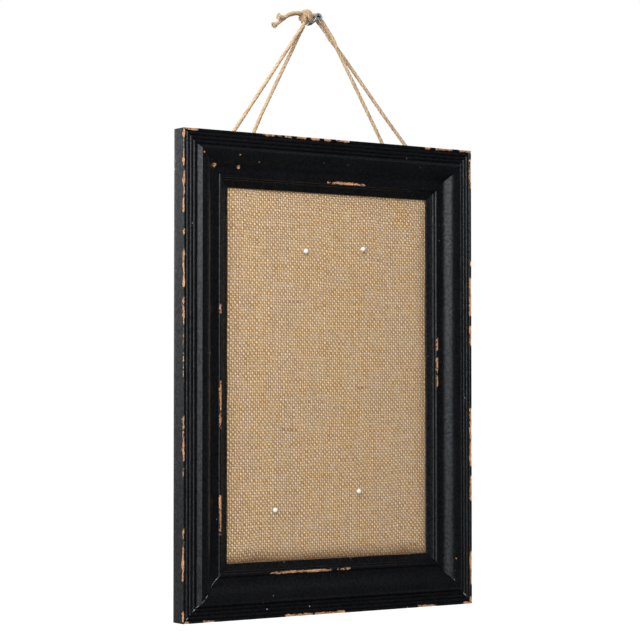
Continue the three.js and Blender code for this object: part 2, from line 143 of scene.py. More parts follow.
def number(name, description, default, **more):
    """A plain number for the sidebar."""
    return FloatProperty(name=name, description=description, default=default, **more)


def integer(name, description, default, least=0):
    """A whole number for the sidebar."""
    return IntProperty(name=name, description=description, default=default, min=least)


def length(name, description, default):
    """A size in metres for the sidebar."""
    return number(name, description, default, min=0.0, precision=4, unit="LENGTH", subtype="DISTANCE")


def share(name, description, default):
    """A number from 0 to 1 for the sidebar."""
    return number(name, description, default, min=0.0, max=1.0, subtype="FACTOR")


def place(name, description, default):
    """A place in metres for the sidebar."""
    return FloatVectorProperty(
        name=name, description=description, default=default, unit="LENGTH", subtype="TRANSLATION"
    )


def colour(name, description, default):
    """A linear colour for the sidebar."""
    return FloatVectorProperty(
        name=name, description=description, default=default, size=3, min=0.0, max=1.0, subtype="COLOR"
    )


class MouldingSettings(bpy.types.PropertyGroup):
    reed_count: integer("Reeds", "Full reeds beside the outer edge", 3, 1)
    reed_width: length("Reed width", "Width of one reed", 3.35 * MM)
    reed_sink: length("Reed sink", "Depth of the reeds' crowns below the outer plane", 0.8 * MM)
    edge_width: length("Edge width", "Width of the reed that the outer edge cuts short", 2.4 * MM)
    groove_depth: length("Groove depth", "Depth of the grooves beside the reeds", 1 * MM)
    shoulder_width: length("Shoulder width", "Width of the slope that rises to the crest", 3.3 * MM)
    crest_width: length("Crest width", "Width of the crest", 5.85 * MM)
    crest_rise: length("Crest rise", "Height of the crest above the reeds", 2.4 * MM)
    crest_fall: length("Crest fall", "Drop of the crest towards the ogee", 0.9 * MM)
    ogee_width: length("Ogee width", "Width of the S-curve under the crest", 10 * MM)
    ogee_bend: length("Ogee bend", "Reach of the S-curve's two bends", 3.5 * MM)
    hollow_width: length("Hollow width", "Width of the flat below the ogee", 3.8 * MM)
    hollow_depth: length("Hollow depth", "Depth of that flat below the reeds", 4.5 * MM)
    bead_width: length("Bead width", "Width of the round bead", 3.6 * MM)
    bead_quirk: length("Bead quirk", "Depth of the groove beside the bead", 0.3 * MM)
    fillet_width: length("Fillet width", "Width of the flat inside the bead", 1.1 * MM)
    bevel_width: length("Bevel width", "Width of the slope down to the sight edge", 6.4 * MM)
    bevel_step: length("Bevel step", "Small step from the fillet down to the bevel", 0.6 * MM)
    sight_depth: length("Sight depth", "Depth of the sight edge below the reeds", 7.8 * MM)
    lip: length("Lip", "Thickness of the lip over the cloth", 1.2 * MM)
    rabbet_width: length("Rabbet width", "Width of the step that holds the panel", 6 * MM)
    mitre_gap: length("Mitre gap", "Open joint between two lengths", 0.3 * MM)
    arris: length("Arris", "Rounding of the back edges", 0.6 * MM)
    chip_depth: length("Chip depth", "How deep the rubbed places are worn", 0.3 * MM)
    step: length("Step", "Spacing of the sections along a length", 1.1 * MM)
    paint: colour("Paint", "Satin black paint", (0.0028, 0.0029, 0.0035))
    primer: colour("Primer", "Thin grey rim of the rubbed places", (0.2, 0.17, 0.14))
    scuff: colour("Scuffs", "Pale scuffs on the paint", (0.55, 0.53, 0.5))
    wood: colour("Wood", "Bare wood in the rubbed places", (0.62, 0.34, 0.17))
    wood_dark: colour("Wood grain", "Dark grain of the bare wood", (0.32, 0.14, 0.055))


class BurlapSettings(bpy.types.PropertyGroup):
    warp_count: integer("Warp threads", "Upright threads across the panel", 104, 8)
    weft_count: integer("Weft threads", "Level threads up the panel", 152, 8)
    swell: length("Thread swell", "Height of a thread where it crosses over another", 0.28 * MM)
    wander: length("Wander", "How far the threads stray from straight lines", 0.75 * MM)
    crown: length("Crown", "How far the middle of the cloth stands proud", 1.4 * MM)
    hem: length("Hem", "Width folded on to the back of the board", 22 * MM)
    roll: length("Roll", "Width of the band at the lip where the cloth rolls back", 16 * MM)
    fold: length("Fold radius", "Radius of the cloth round the board's edge", 0.9 * MM)
    light: colour("Light threads", "Lightest threads", (0.835, 0.715, 0.555))
    dark: colour("Dark threads", "Darkest threads", (0.37, 0.186, 0.012))
    warm: colour("Warm tint", "Tint of the reddest crossings", (1.0, 0.87, 0.7))
    ash: colour("Ashen tint", "Tint of the greyest crossings", (0.95, 0.92, 0.88))
    gap: colour("Gaps", "Shade between the threads", (0.115, 0.038, 0.001))
    slub: colour("Slubs", "Dark slubs in a few threads", (0.3, 0.12, 0.035))
    fibre_count: integer("Loose fibres", "Loose fibres at the lip", 46)


class CordSettings(bpy.types.PropertyGroup):
    diameter: length("Diameter", "Diameter of the cord", 3.2 * MM)
    length: length("Length", "Length of the cord from end to end", 0.755)
    lay: length("Lay", "Length of one full twist of the plies", 13.5 * MM)
    groove: share("Groove", "Depth of the grooves between plies, as a share of the radius", 0.15)
    knot_ring: length("Knot ring", "Radius of the knot's turns", 2.8 * MM)
    knot_roll: length("Knot roll", "Radius of the knot's weaving", 2.3 * MM)
    knot_stretch: number("Knot stretch", "Stretch along the cord", 1.45, min=0.5)
    fray_count: integer("Frayed fibres", "Fibres at each cut end", 60)
    light: colour("Light fibres", "Light fibres of the jute", (0.625, 0.475, 0.31))
    dark: colour("Dark fibres", "Dark fibres of the jute", (0.365, 0.226, 0.115))


class HardwareSettings(bpy.types.PropertyGroup):
    screw_length: length("Screw length", "Length of the wall screw", 20 * MM)
    screw_diameter: length("Screw diameter", "Diameter over the thread", 3.5 * MM)
    screw_head: length("Screw head", "Diameter of the screw's head", 7.1 * MM)
    head_height: length("Head height", "Height of the screw's head", 2.4 * MM)
    recess_arm: length("Recess arm", "Length of an arm of the cross recess", 2.5 * MM)
    recess_half: length("Recess half", "Half the width of an arm at the middle", 0.75 * MM)
    recess_depth: length("Recess depth", "Depth of the recess in the middle", 1.5 * MM)
    screw_reach: length("Screw reach", "From the cord to the top of the head", 8.4 * MM)
    screw_tilt: number("Screw tilt", "Slope of the screw, head up", np.radians(17), subtype="ANGLE")
    thread_pitch: length("Thread pitch", "Rise of the thread in one turn", 1.7 * MM)
    pin_head: length("Pin head", "Diameter of a map pin's ball", 4.2 * MM)
    pin_needle: length("Pin needle", "Diameter of a map pin's needle", 0.9 * MM)
    eye_wire: length("Eye wire", "Diameter of the screw eyes' wire", 2 * MM)
    eye_ring: length("Eye ring", "Radius of a screw eye at the middle of its wire", 3.5 * MM)
    zinc: colour("Zinc", "Zinc-plated steel", (0.58, 0.6, 0.62))
    brass: colour("Brass", "Brassed wire", (0.6, 0.42, 0.17))
    bead: colour("Bead", "Glossy pin heads", (0.86, 0.84, 0.79))
    card: colour("Card", "Backing card", (0.3, 0.22, 0.14))
    fibreboard: colour("Fibreboard", "Pin board", (0.34, 0.21, 0.1))


class StageSettings(bpy.types.PropertyGroup):
    camera_place: place("Camera place", "Where the camera stands", (-1.0881, -1.5428, -0.3242))
    camera_turn: number("Camera turn", "Turn to the right of the wall's depth", 0.6171, subtype="ANGLE")
    camera_rise: number("Camera rise", "Tilt above level", 0.0332, subtype="ANGLE")
    lens: number("Lens", "Focal length in millimetres", 122.25, min=1.0)
    sensor: number("Sensor", "Width of the camera's sensor in millimetres", 36.0, min=1.0)
    floor_drop: length("Floor drop", "From the board's foot to the floor", 0.14)
    floor_grey: share("Floor grey", "How pale the floor is to light that bounces off it", 0.3)
    floor_glow: share("Floor glow", "How far the floor glows to the camera", 0.8)
    floor_half: length("Floor half", "From the middle of the floor to its edge", 2.6)
    key_place: place("Key place", "Where the key light stands", (-0.82, -0.64, 0.38))
    key_size: length("Key size", "Side of the key light's soft box", 1.2)
    key_power: number("Key light", "Power of the key light", 24.5, unit="POWER")
    fill_place: place("Fill place", "Where the fill light stands", (-0.5, -2.1, 0.2))
    fill_size: length("Fill size", "Side of the fill light's soft box", 1.6)
    fill_power: number("Fill light", "Power of the fill light", 2.4, unit="POWER")
    room: number("Room light", "Brightness of the left side in reflections", 1.9)
    shade: number("Shaded side", "Brightness of the right side in reflections", 0.065)
    wall: number("Wall", "Brightness of the wall behind the board", 1.25)
    ambient: number("Ambient", "Even light from the rest of the room", 0.3)
    background: colour("Background", "Colour of the background", (1.0, 1.0, 1.0))


class MemoBoardSettings(bpy.types.PropertyGroup):
    moulding: PointerProperty(type=MouldingSettings)
    burlap: PointerProperty(type=BurlapSettings)
    cord: PointerProperty(type=CordSettings)
    hardware: PointerProperty(type=HardwareSettings)
    stage: PointerProperty(type=StageSettings)


# Numpy helpers


def ease(x):
    """Smooth step from 0 to 1: three squares less two cubes, held at both ends."""
    x = np.clip(x, 0, 1)
    return x * x * (3 - 2 * x)


def cloud(x, y, seed):
    """Smooth random heights from -1 to 1: a lattice of random numbers, eased between its corners."""
    lattice = np.random.default_rng(seed).uniform(-1, 1, (LATTICE, LATTICE))
    i, j = np.floor(x).astype(int), np.floor(y).astype(int)
    u, v = ease(x - i), ease(y - j)
    low, high = (
        lattice[i % LATTICE, row % LATTICE] * (1 - u) + lattice[(i + 1) % LATTICE, row % LATTICE] * u
        for row in (j, j + 1)
    )
    return low * (1 - v) + high * v


def bell(x):
    """Bell shape: the natural number to the power of minus the square."""
    return np.exp(-(x**2))


def window(x, start, end, soft):
    """One between two places and nought outside them, eased over a soft width about each."""
    return ease((x - start) / soft + 0.5) * ease((end - x) / soft + 0.5)


def unit(vectors):
    """The same directions, one long."""
    return vectors / np.linalg.norm(vectors, axis=-1, keepdims=True)


def smooth_route(points, step):
    """One smooth curve through the points, sampled at even steps.

    Long straight stretches first get points of their own, so that only their ends bend. Each span is a cubic
    whose end slopes are the mean of the chords on both sides, the nearer chord counting more.
    """
    points = np.asarray(points, float)
    spans = np.linalg.norm(np.diff(points, axis=0), axis=1)
    pieces = np.maximum(1, np.round(spans / (9 * MM))).astype(int)
    starts = np.repeat(np.arange(len(spans)), pieces)
    part = np.concatenate([np.arange(n) / n for n in pieces])[:, None]
    knots = np.vstack([points[starts] * (1 - part) + points[starts + 1] * part, points[-1:]])
    spans = np.linalg.norm(np.diff(knots, axis=0), axis=1)[:, None]
    chords = np.diff(knots, axis=0) / spans
    middle = (chords[:-1] * spans[1:] + chords[1:] * spans[:-1]) / (spans[:-1] + spans[1:])
    slopes = np.vstack([chords[:1], middle, chords[-1:]])
    t = np.linspace(0, 1, 24, endpoint=False)[None, :, None]
    a, b = knots[:-1, None], knots[1:, None]
    h, m, n = spans[:, None], slopes[:-1, None], slopes[1:, None]
    curve = (
        a * (1 + 2 * t) * (1 - t) ** 2 + b * t * t * (3 - 2 * t)
        + h * (m * t * (1 - t) ** 2 - n * t * t * (1 - t))
    )
    curve = np.vstack([curve.reshape(-1, 3), knots[-1:]])
    run = np.concatenate([[0], np.cumsum(np.linalg.norm(np.diff(curve, axis=0), axis=1))])
    even = np.linspace(0, run[-1], int(run[-1] / step) + 1)
    return np.stack([np.interp(even, run, curve[:, k]) for k in range(3)], axis=1), even


def square_to(vectors, along):
    """Directions with their part along another taken out, one long."""
    return unit(vectors - along * np.sum(vectors * along, axis=1, keepdims=True))


def sweep(centres, first, second, angle, reach):
    """Rings of points: a centre plus one direction by the cosine and one by the sine, times the reach."""
    return (
        centres[:, None]
        + first[:, None] * (reach * np.cos(angle))[..., None]
        + second[:, None] * (reach * np.sin(angle))[..., None]
    )


def tube(route, aside, angle, reach):
    """A section carried along a route.

    The section's first axis is the reference direction with its part along the route taken out, the second is
    square to both. The section's angle and reach have one value for each ring and each column.
    """
    along = unit(np.gradient(route, axis=0))
    first = square_to(aside, along)
    return sweep(route, first, np.cross(along, first), angle, reach)


def plies(run, columns, diameter, lay, groove, scale=1.0):
    """Angle and radius of a three-ply twisted section.

    The section turns once in each lay. Its radius is full on each ply and drops by the groove between plies:
    one minus a power of the magnitude of the cosine of one and a half times the angle.
    """
    column = np.arange(columns) / columns * TURN
    angle = column[None] + run[:, None] / lay * TURN
    lobes = 1 - groove * (1 - np.abs(np.cos(1.5 * column)) ** 0.8)
    return angle, diameter / 2 * lobes[None] * np.broadcast_to(scale, run.shape)[:, None]


def quads(rows, columns, close_rows, close_columns):
    """The faces between neighbouring grid lines: their points, and each corner's row and column.

    Where a seam closes, the row or column counts on past the last grid line.
    """
    i, j = np.meshgrid(
        np.arange(rows if close_rows else rows - 1),
        np.arange(columns if close_columns else columns - 1),
        indexing="ij",
    )
    i, j = i.ravel(), j.ravel()
    row = np.stack([i, i, i + 1, i + 1], axis=1)
    column = np.stack([j, j + 1, j + 1, j], axis=1)
    return (row % rows) * columns + column % columns, row, column


def wrapped(way, girth, columns):
    """Surface places of a grid: the way along it for each row, and its girth shared out over the columns."""
    return lambda row, column: (way[row], column / columns * girth)


def make_piece(name, grids):
    """One mesh object from grids of points.

    Each grid is a dict with points and what gives u and v for a row and column. It may also close its rows or
    columns, cap its ends, keep only some faces, and carry a value for each point: wear on the moulding and
    the knot, painted shade on the cloth and the screw.
    """
    points, faces, uv, wear_and_shade, first = [], [], [], [], 0
    for grid in grids:
        place = grid["points"]
        rows, columns = place.shape[:2]
        close = grid.get("close_rows", False), grid.get("close_columns", True)
        face, row, column = quads(rows, columns, *close)
        if "keep" in grid:
            kept = grid["keep"](row, column)
            face, row, column = face[kept], row[kept], column[kept]
        points.append(place.reshape(-1, 3))
        faces += (face + first).tolist()
        uv.append(np.stack(grid["uv"](row, column), axis=-1).reshape(-1, 2))
        ring = np.arange(columns)
        for end, order in [(0, ring[::-1]), (rows - 1, ring)] if grid.get("caps") else []:
            faces.append((first + end * columns + order).tolist())
            uv.append(np.stack(grid["uv"](np.full(columns, end), order), axis=-1))
        wear_and_shade.append(grid.get("wear_and_shade", np.zeros(place.shape[:2])).ravel())
        first += rows * columns
    mesh = bpy.data.meshes.new(name)
    mesh.from_pydata(np.vstack(points).tolist(), [], faces)
    layer = mesh.uv_layers.new(name="surface")
    layer.data.foreach_set("uv", np.vstack(uv).astype(np.float32).ravel())
    worn = np.concatenate(wear_and_shade).astype(np.float32)
    if worn.any():
        mesh.attributes.new("wear_and_shade", "FLOAT", "POINT").data.foreach_set("value", worn)
    mesh.polygons.foreach_set("use_smooth", np.ones(len(mesh.polygons), bool))
    mesh.set_sharp_from_angle(angle=SHARP)
    mesh.update()
    piece = bpy.data.objects.new(name, mesh)
    bpy.context.scene.collection.objects.link(piece)
    return piece


def build(name, grids, body, slot, material, *nodes):
    """A piece with its material, the body that carries it and the solids that it stands for."""
    piece = make_piece(name, grids)
    piece.data.materials.append(material)
    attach(piece, body)
    if nodes:
        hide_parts(*nodes)
    return piece


# Node helpers


class Painter:
    """Adds nodes to a tree. An input is a socket to link or a value to set.

    line is a value times a slope plus a start. span eases from start to end while a value goes from low to
    high. mix goes between two colours by a part, and blend between two numbers.
    """

    def __init__(self, tree):
        self.tree = tree

    def node(self, kind, inputs=(), **settings):
        made = self.tree.nodes.new("ShaderNode" + kind)
        for key, value in settings.items():
            setattr(made, key, value)
        for key, value in dict(inputs).items():
            if isinstance(value, bpy.types.NodeSocket):
                self.tree.links.new(value, made.inputs[key])
            else:
                made.inputs[key].default_value = value
        return made

    def math(self, operation, *values):
        return self.node("Math", enumerate(values), operation=operation).outputs[0]

    def plus(self, one, other):
        return self.math("ADD", one, other)

    def times(self, one, other):
        return self.math("MULTIPLY", one, other)

    def line(self, value, slope, start):
        return self.math("MULTIPLY_ADD", value, slope, start)

    def span(self, value, low, high, start=0.0, end=1.0):
        inputs = enumerate((value, low, high, start, end))
        return self.node("MapRange", inputs, interpolation_type="SMOOTHSTEP").outputs[0]

    def mix(self, part, low, high, way="MIX"):
        return self.node("Mix", {0: part, 6: low, 7: high}, data_type="RGBA", blend_type=way).outputs[2]

    def blend(self, part, low, high):
        return self.node("Mix", {0: part, 2: low, 3: high}, data_type="FLOAT").outputs[0]

    def split(self, place):
        return self.node("SeparateXYZ", {0: place}).outputs

    def join(self, x, y):
        return self.node("CombineXYZ", {0: x, 1: y}).outputs[0]

    def stretch(self, place, scale):
        return self.node("Mapping", {"Vector": place, "Scale": scale}).outputs[0]

    def turn(self, place, rotation):
        return self.node("Mapping", {"Vector": place, "Rotation": rotation}).outputs[0]

    def noise(self, place, scale, detail=2.0, roughness=0.5):
        inputs = {"Vector": place, "Scale": scale, "Detail": detail, "Roughness": roughness}
        return self.node("TexNoise", inputs).outputs[0]

    def chance(self, cell):
        return self.node("TexWhiteNoise", {"Vector": cell}, noise_dimensions="2D").outputs["Value"]

    def wear_and_shade(self):
        return self.node("Attribute", attribute_name="wear_and_shade").outputs["Fac"]

    def group(self, name, **inputs):
        return self.node("Group", inputs, node_tree=shared_group(name)).outputs


def rgba(colour, part=1.0):
    """A colour times a part, with full alpha."""
    return (*(part * c for c in colour), 1.0)


def draw_fibres(paint, given):
    """Fibres: noise drawn out along the first axis, with slow light and dark stretches."""
    drawn = paint.stretch(given["Place"], (0.12, 1.0, 1.0))
    streak = paint.noise(drawn, given["Fine"], 3.0, 0.6)
    stretch = paint.noise(drawn, given["Slow"])
    return {"Streak": paint.span(streak, 0.3, 0.7), "Stretch": paint.span(stretch, 0.3, 0.7)}


def draw_mottle(paint, given):
    """Mottle: soft noise for uneven colour, and the same fourteen times as fine for uneven gloss."""
    slow = paint.noise(given["Place"], given["Scale"], 3.0, 0.55)
    fine = paint.noise(given["Place"], paint.times(given["Scale"], 14.0), 2.0, 0.6)
    return {"Cloud": paint.span(slow, 0.28, 0.72), "Grit": fine}


def draw_specks(paint, given):
    """Specks: round dots at the middles of a few random cells, of random size."""
    cells = paint.node("TexVoronoi", {"Vector": given["Place"], "Scale": given["Scale"]}).outputs
    pick = paint.node("SeparateColor", {0: cells["Color"]}).outputs
    chosen = paint.math("LESS_THAN", pick[0], given["Share"])
    dot = paint.math("LESS_THAN", cells["Distance"], paint.line(pick[1], 0.13, 0.04))
    return {"Dots": paint.times(chosen, dot)}


# Shader groups: what draws each one, and the numbers that it takes beside the place
GROUPS = {
    "Fibres": (draw_fibres, ["Fine", "Slow"]),
    "Mottle": (draw_mottle, ["Scale"]),
    "Specks": (draw_specks, ["Scale", "Share"]),
}


def shared_group(name):
    """The shader group of that name, made the first time that it is asked for."""
    if name not in bpy.data.node_groups:
        draw, numbers = GROUPS[name]
        tree = bpy.data.node_groups.new(name, "ShaderNodeTree")
        tree.interface.new_socket("Place", in_out="INPUT", socket_type="NodeSocketVector")
        for key in numbers:
            tree.interface.new_socket(key, in_out="INPUT", socket_type="NodeSocketFloat")
        drawn = draw(Painter(tree), tree.nodes.new("NodeGroupInput").outputs)
        for key in drawn:
            tree.interface.new_socket(key, in_out="OUTPUT", socket_type="NodeSocketFloat")
        out = tree.nodes.new("NodeGroupOutput").inputs
        for key, socket in drawn.items():
            tree.links.new(socket, out[key])
    return bpy.data.node_groups[name]


def new_material(name, constants):
    """A material with one Principled shader and its constants, a painter, and its Object places and UV."""
    material = bpy.data.materials.new(name)
    material.use_nodes = True
    paint = Painter(material.node_tree)
    shader = material.node_tree.nodes["Principled BSDF"]
    for key, value in constants.items():
        shader.inputs[key].default_value = value
    places = paint.node("TexCoord").outputs
    return material, paint, shader, places["Object"], places["UV"]


def finish_with(paint, shader, colour, roughness, height, distance):
    """Links what changes over the surface to the shader: colour, roughness if it does, and relief."""
    paint.tree.links.new(colour, shader.inputs["Base Color"])
    if roughness is not None:
        paint.tree.links.new(roughness, shader.inputs["Roughness"])
    bump = paint.node("Bump", {"Height": height, "Distance": distance, "Strength": 1.0})
    paint.tree.links.new(bump.outputs[0], shader.inputs["Normal"])


def black_paint_material(name, s):
    """Satin black paint over wood: faint grain along the length, rubbed through to primer and bare wood.

    Wear above nought, made ragged by two noises, shows primer and then wood. Wear below it is pale scuffs.
    """
    constants = {"Coat Roughness": 0.34, "Specular IOR Level": 0.34, "Specular Tint": (0.86, 0.93, 1.0, 1.0)}
    material, paint, shader, place, surface = new_material(name, constants)
    mottle = paint.group("Mottle", Place=place, Scale=30.0)
    grain = paint.group("Fibres", Place=surface, Fine=620.0, Slow=70.0)
    wear_and_shade = paint.wear_and_shade()
    drawn = paint.stretch(surface, (0.6, 1.0, 1.0))
    chips, bites = paint.noise(drawn, 800.0, 4.0, 0.62), paint.noise(drawn, 190.0, 1.0)
    ragged = paint.line(chips, 3.0, paint.line(bites, 2.0, -2.62))
    depth = paint.times(paint.plus(wear_and_shade, ragged), paint.span(wear_and_shade, 0.04, 0.2))
    primer, bare = paint.span(depth, 0.32, 0.38), paint.span(depth, 0.4, 0.48)
    dots = paint.group("Specks", Place=place, Scale=230.0, Share=0.045)["Dots"]
    scuff = paint.noise(paint.stretch(surface, (0.25, 1.0, 1.0)), 210.0, 5.0, 0.7)
    pale = paint.span(paint.math("SUBTRACT", paint.times(ragged, 0.8), wear_and_shade), 0.2, 0.6, 0.0, 0.7)
    coat = paint.mix(mottle["Cloud"], rgba(s.paint), rgba(s.paint, 1.5))
    coat = paint.mix(paint.times(paint.span(scuff, 0.72, 0.8), 0.1), coat, rgba(s.primer))
    coat = paint.mix(paint.times(dots, 0.5), coat, rgba(s.scuff))
    coat = paint.mix(paint.times(pale, paint.span(wear_and_shade, -0.05, -0.35)), coat, rgba(s.scuff))
    wood = paint.mix(grain["Streak"], rgba(s.wood_dark), rgba(s.wood))
    tone = paint.mix(bare, paint.mix(primer, coat, rgba(s.primer)), wood)
    gloss = paint.plus(paint.line(mottle["Grit"], 0.2, 0.26), paint.times(bare, 0.35))
    relief = paint.line(grain["Streak"], 0.1, paint.times(mottle["Grit"], 1.2))
    relief = paint.plus(relief, paint.times(primer, -1.6))
    finish_with(paint, shader, tone, gloss, relief, 0.14 * MM)
    paint.tree.links.new(paint.span(mottle["Grit"], 0.36, 0.64, 0.0, 0.5), shader.inputs["Coat Weight"])
    return material


def burlap_material(name, s):
    """Plain weave on thread counts: in each cell one thread passes over, alternating like a chess board.

    Across the upper thread the height is a half circle, along it a cosine, and the cell's corners are gaps.
    The upright threads are the lighter ones. Each thread and each crossing has its own tone, and a few
    slubs are dark. Shade is painted in between the threads, and along the lip where the cloth rolls back,
    most at the foot.
    """
    constants = {"Roughness": 0.92, "Specular IOR Level": 0.08, "Sheen Weight": 0.2, "Sheen Roughness": 0.6}
    material, paint, shader, _, surface = new_material(name, constants)
    split = paint.split(surface)
    cell = [paint.math("FLOOR", split[k]) for k in (0, 1)]
    inside = [paint.math("SUBTRACT", paint.math("FRACT", split[k]), 0.5) for k in (0, 1)]
    over = paint.math("PINGPONG", paint.plus(*cell), 1.0)
    upright = paint.times(paint.line(inside[1], 0.12, inside[0]), 1.1)
    across = paint.blend(over, upright, inside[1])
    along = paint.blend(over, paint.times(inside[1], 0.9), inside[0])
    half_round = paint.math("MAXIMUM", paint.line(paint.times(across, across), -3.7, 1.0), 0.0)
    arch = paint.math("COSINE", paint.times(along, 2.9))
    crown = paint.times(paint.math("SQRT", half_round), paint.line(arch, 0.6, 0.4))
    slow = [paint.times(split[k], 0.06) for k in (0, 1)]
    warp = paint.join(cell[0], slow[1])
    weft = paint.join(slow[0], paint.plus(cell[1], 500.5))
    thread = [paint.noise(way, 0.83, 1.0) for way in (warp, weft)]
    fibres = paint.group("Fibres", Place=paint.turn(surface, (0.0, 0.0, 0.6)), Fine=7.0, Slow=0.35)
    corner = paint.join(*cell)
    part = paint.line(paint.chance(corner), 0.26, paint.blend(over, 0.7, 0.2))
    part = paint.plus(part, paint.line(paint.blend(over, *thread), 0.5, -0.25))
    part = paint.plus(part, paint.line(fibres["Streak"], 0.4, -0.2))
    hue = paint.chance(paint.stretch(corner, (1.3, 0.7, 1.0)))
    tint = paint.mix(hue, rgba(s.warm), rgba(s.ash))
    cloth = paint.mix(1.0, paint.mix(part, rgba(s.dark), rgba(s.light)), tint, "MULTIPLY")
    slubs = paint.times(paint.span(thread[1], 0.71, 0.77), paint.line(over, 0.6, 0.2))
    cloth = paint.mix(slubs, cloth, rgba(s.slub))
    # Painted shade between the threads, where the crown is low
    cloth = paint.mix(paint.span(crown, 0.82, 0.12), cloth, rgba(s.gap))
    # Painted shade along the lip where the cloth rolls back, from the point attribute
    cloth = paint.mix(paint.times(paint.wear_and_shade(), 0.8), cloth, rgba(s.gap))
    relief = paint.plus(crown, paint.times(fibres["Streak"], 0.16))
    finish_with(paint, shader, cloth, None, relief, 0.4 * MM)
    return material


def jute_material(name, s):
    """Twisted jute: fibres lean across each ply, shade is painted between plies, darker where handled."""
    constants = {"Roughness": 0.9, "Specular IOR Level": 0.1, "Sheen Weight": 0.25, "Sheen Roughness": 0.5}
    material, paint, shader, _, surface = new_material(name, constants)
    fibres = paint.group("Fibres", Place=paint.turn(surface, (0.0, 0.0, 0.35)), Fine=1500.0, Slow=420.0)
    around = paint.times(paint.split(surface)[1], 1.5 / (s.diameter / 2))
    ply = paint.math("ABSOLUTE", paint.math("COSINE", around))
    part = paint.line(fibres["Stretch"], 0.6, paint.times(fibres["Streak"], 0.4))
    tone = paint.mix(part, rgba(s.dark), rgba(s.light))
    # Painted shade in the grooves between the plies
    tone = paint.mix(paint.span(ply, 0.65, 0.0, 0.0, 0.45), tone, rgba(s.dark, 0.6))
    tone = paint.mix(paint.wear_and_shade(), tone, rgba(s.dark, 0.8))
    finish_with(paint, shader, tone, None, fibres["Streak"], 0.04 * MM)
    return material


def metal_material(name, tint, rough, scale):
    """Plated metal: uneven plating changes its colour and gloss; painted shade darkens it where marked."""
    material, paint, shader, place, _ = new_material(name, {"Metallic": 0.65})
    mottle = paint.group("Mottle", Place=place, Scale=scale)
    tone = paint.mix(mottle["Cloud"], rgba(tint, 0.72), rgba(tint))
    # Painted shade from the point attribute: the screw's recess and lower shank
    tone = paint.mix(paint.wear_and_shade(), tone, rgba(tint, 0.06))
    gloss = paint.line(mottle["Grit"], 0.3, rough - 0.15)
    finish_with(paint, shader, tone, gloss, mottle["Grit"], 0.03 * MM)
    return material


def bead_material(name, tint):
    """Glossy cast bead: slight clouding and a clear coat."""
    material, paint, shader, place, _ = new_material(name, {"Coat Weight": 0.5, "Coat Roughness": 0.08})
    mottle = paint.group("Mottle", Place=place, Scale=420.0)
    tone = paint.mix(mottle["Cloud"], rgba(tint, 0.93), rgba(tint))
    gloss = paint.line(mottle["Grit"], 0.1, 0.16)
    finish_with(paint, shader, tone, gloss, mottle["Cloud"], 0.04 * MM)
    return material


def pulp_material(name, tint, fine):
    """Card or fibreboard: short fibres and dark flecks in a mottled base."""
    material, paint, shader, place, _ = new_material(name, {"Specular IOR Level": 0.25})
    fibres = paint.group("Fibres", Place=paint.turn(place, (1.2, 0.3, 0.5)), Fine=fine, Slow=25.0)
    mottle = paint.group("Mottle", Place=place, Scale=18.0)
    flecks = paint.group("Specks", Place=place, Scale=260.0, Share=0.12)["Dots"]
    part = paint.line(fibres["Streak"], 0.5, paint.times(mottle["Cloud"], 0.5))
    tone = paint.mix(part, rgba(tint, 0.7), rgba(tint))
    tone = paint.mix(paint.times(flecks, 0.45), tone, rgba(tint, 0.35))
    gloss = paint.line(mottle["Grit"], 0.15, 0.75)
    finish_with(paint, shader, tone, gloss, fibres["Streak"], 0.1 * MM)
    return material


def material_named(name, make, *arguments):
    """The material of that name, made the first time that it is asked for."""
    return bpy.data.materials.get(name) or make(name, *arguments)


def zinc(s):
    """The zinc plate of the screw, the needles, the points and the nails."""
    return material_named("zinc_plate", metal_material, s.zinc, 0.36, 300.0)


def jute(s):
    """The jute of the cord and of the cloth's loose fibres."""
    return material_named("twisted_jute", jute_material, s)


# Surfaces of the pieces


def arc_over(start, width, foot, rise, count):
    """A round ridge: a circle through both feet of the band, with its crown at the rise."""
    radius = (width * width / 4 + rise * rise) / (2 * rise)
    half = np.arcsin(min(1.0, width / 2 / radius))
    angle = np.linspace(-half, half, count)
    across = start + width / 2 + radius * np.sin(angle)
    return np.stack([across, foot - rise + radius - radius * np.cos(angle)], axis=1)


def bezier(corners, count):
    """A curve drawn by its corners: neighbours are blended by the way along, again and again, down to one."""
    t = np.linspace(0, 1, count)[:, None, None]
    points = np.asarray(corners, float)[None]
    while points.shape[1] > 1:
        points = points[:, :-1] * (1 - t) + points[:, 1:] * t
    return points[:, 0]


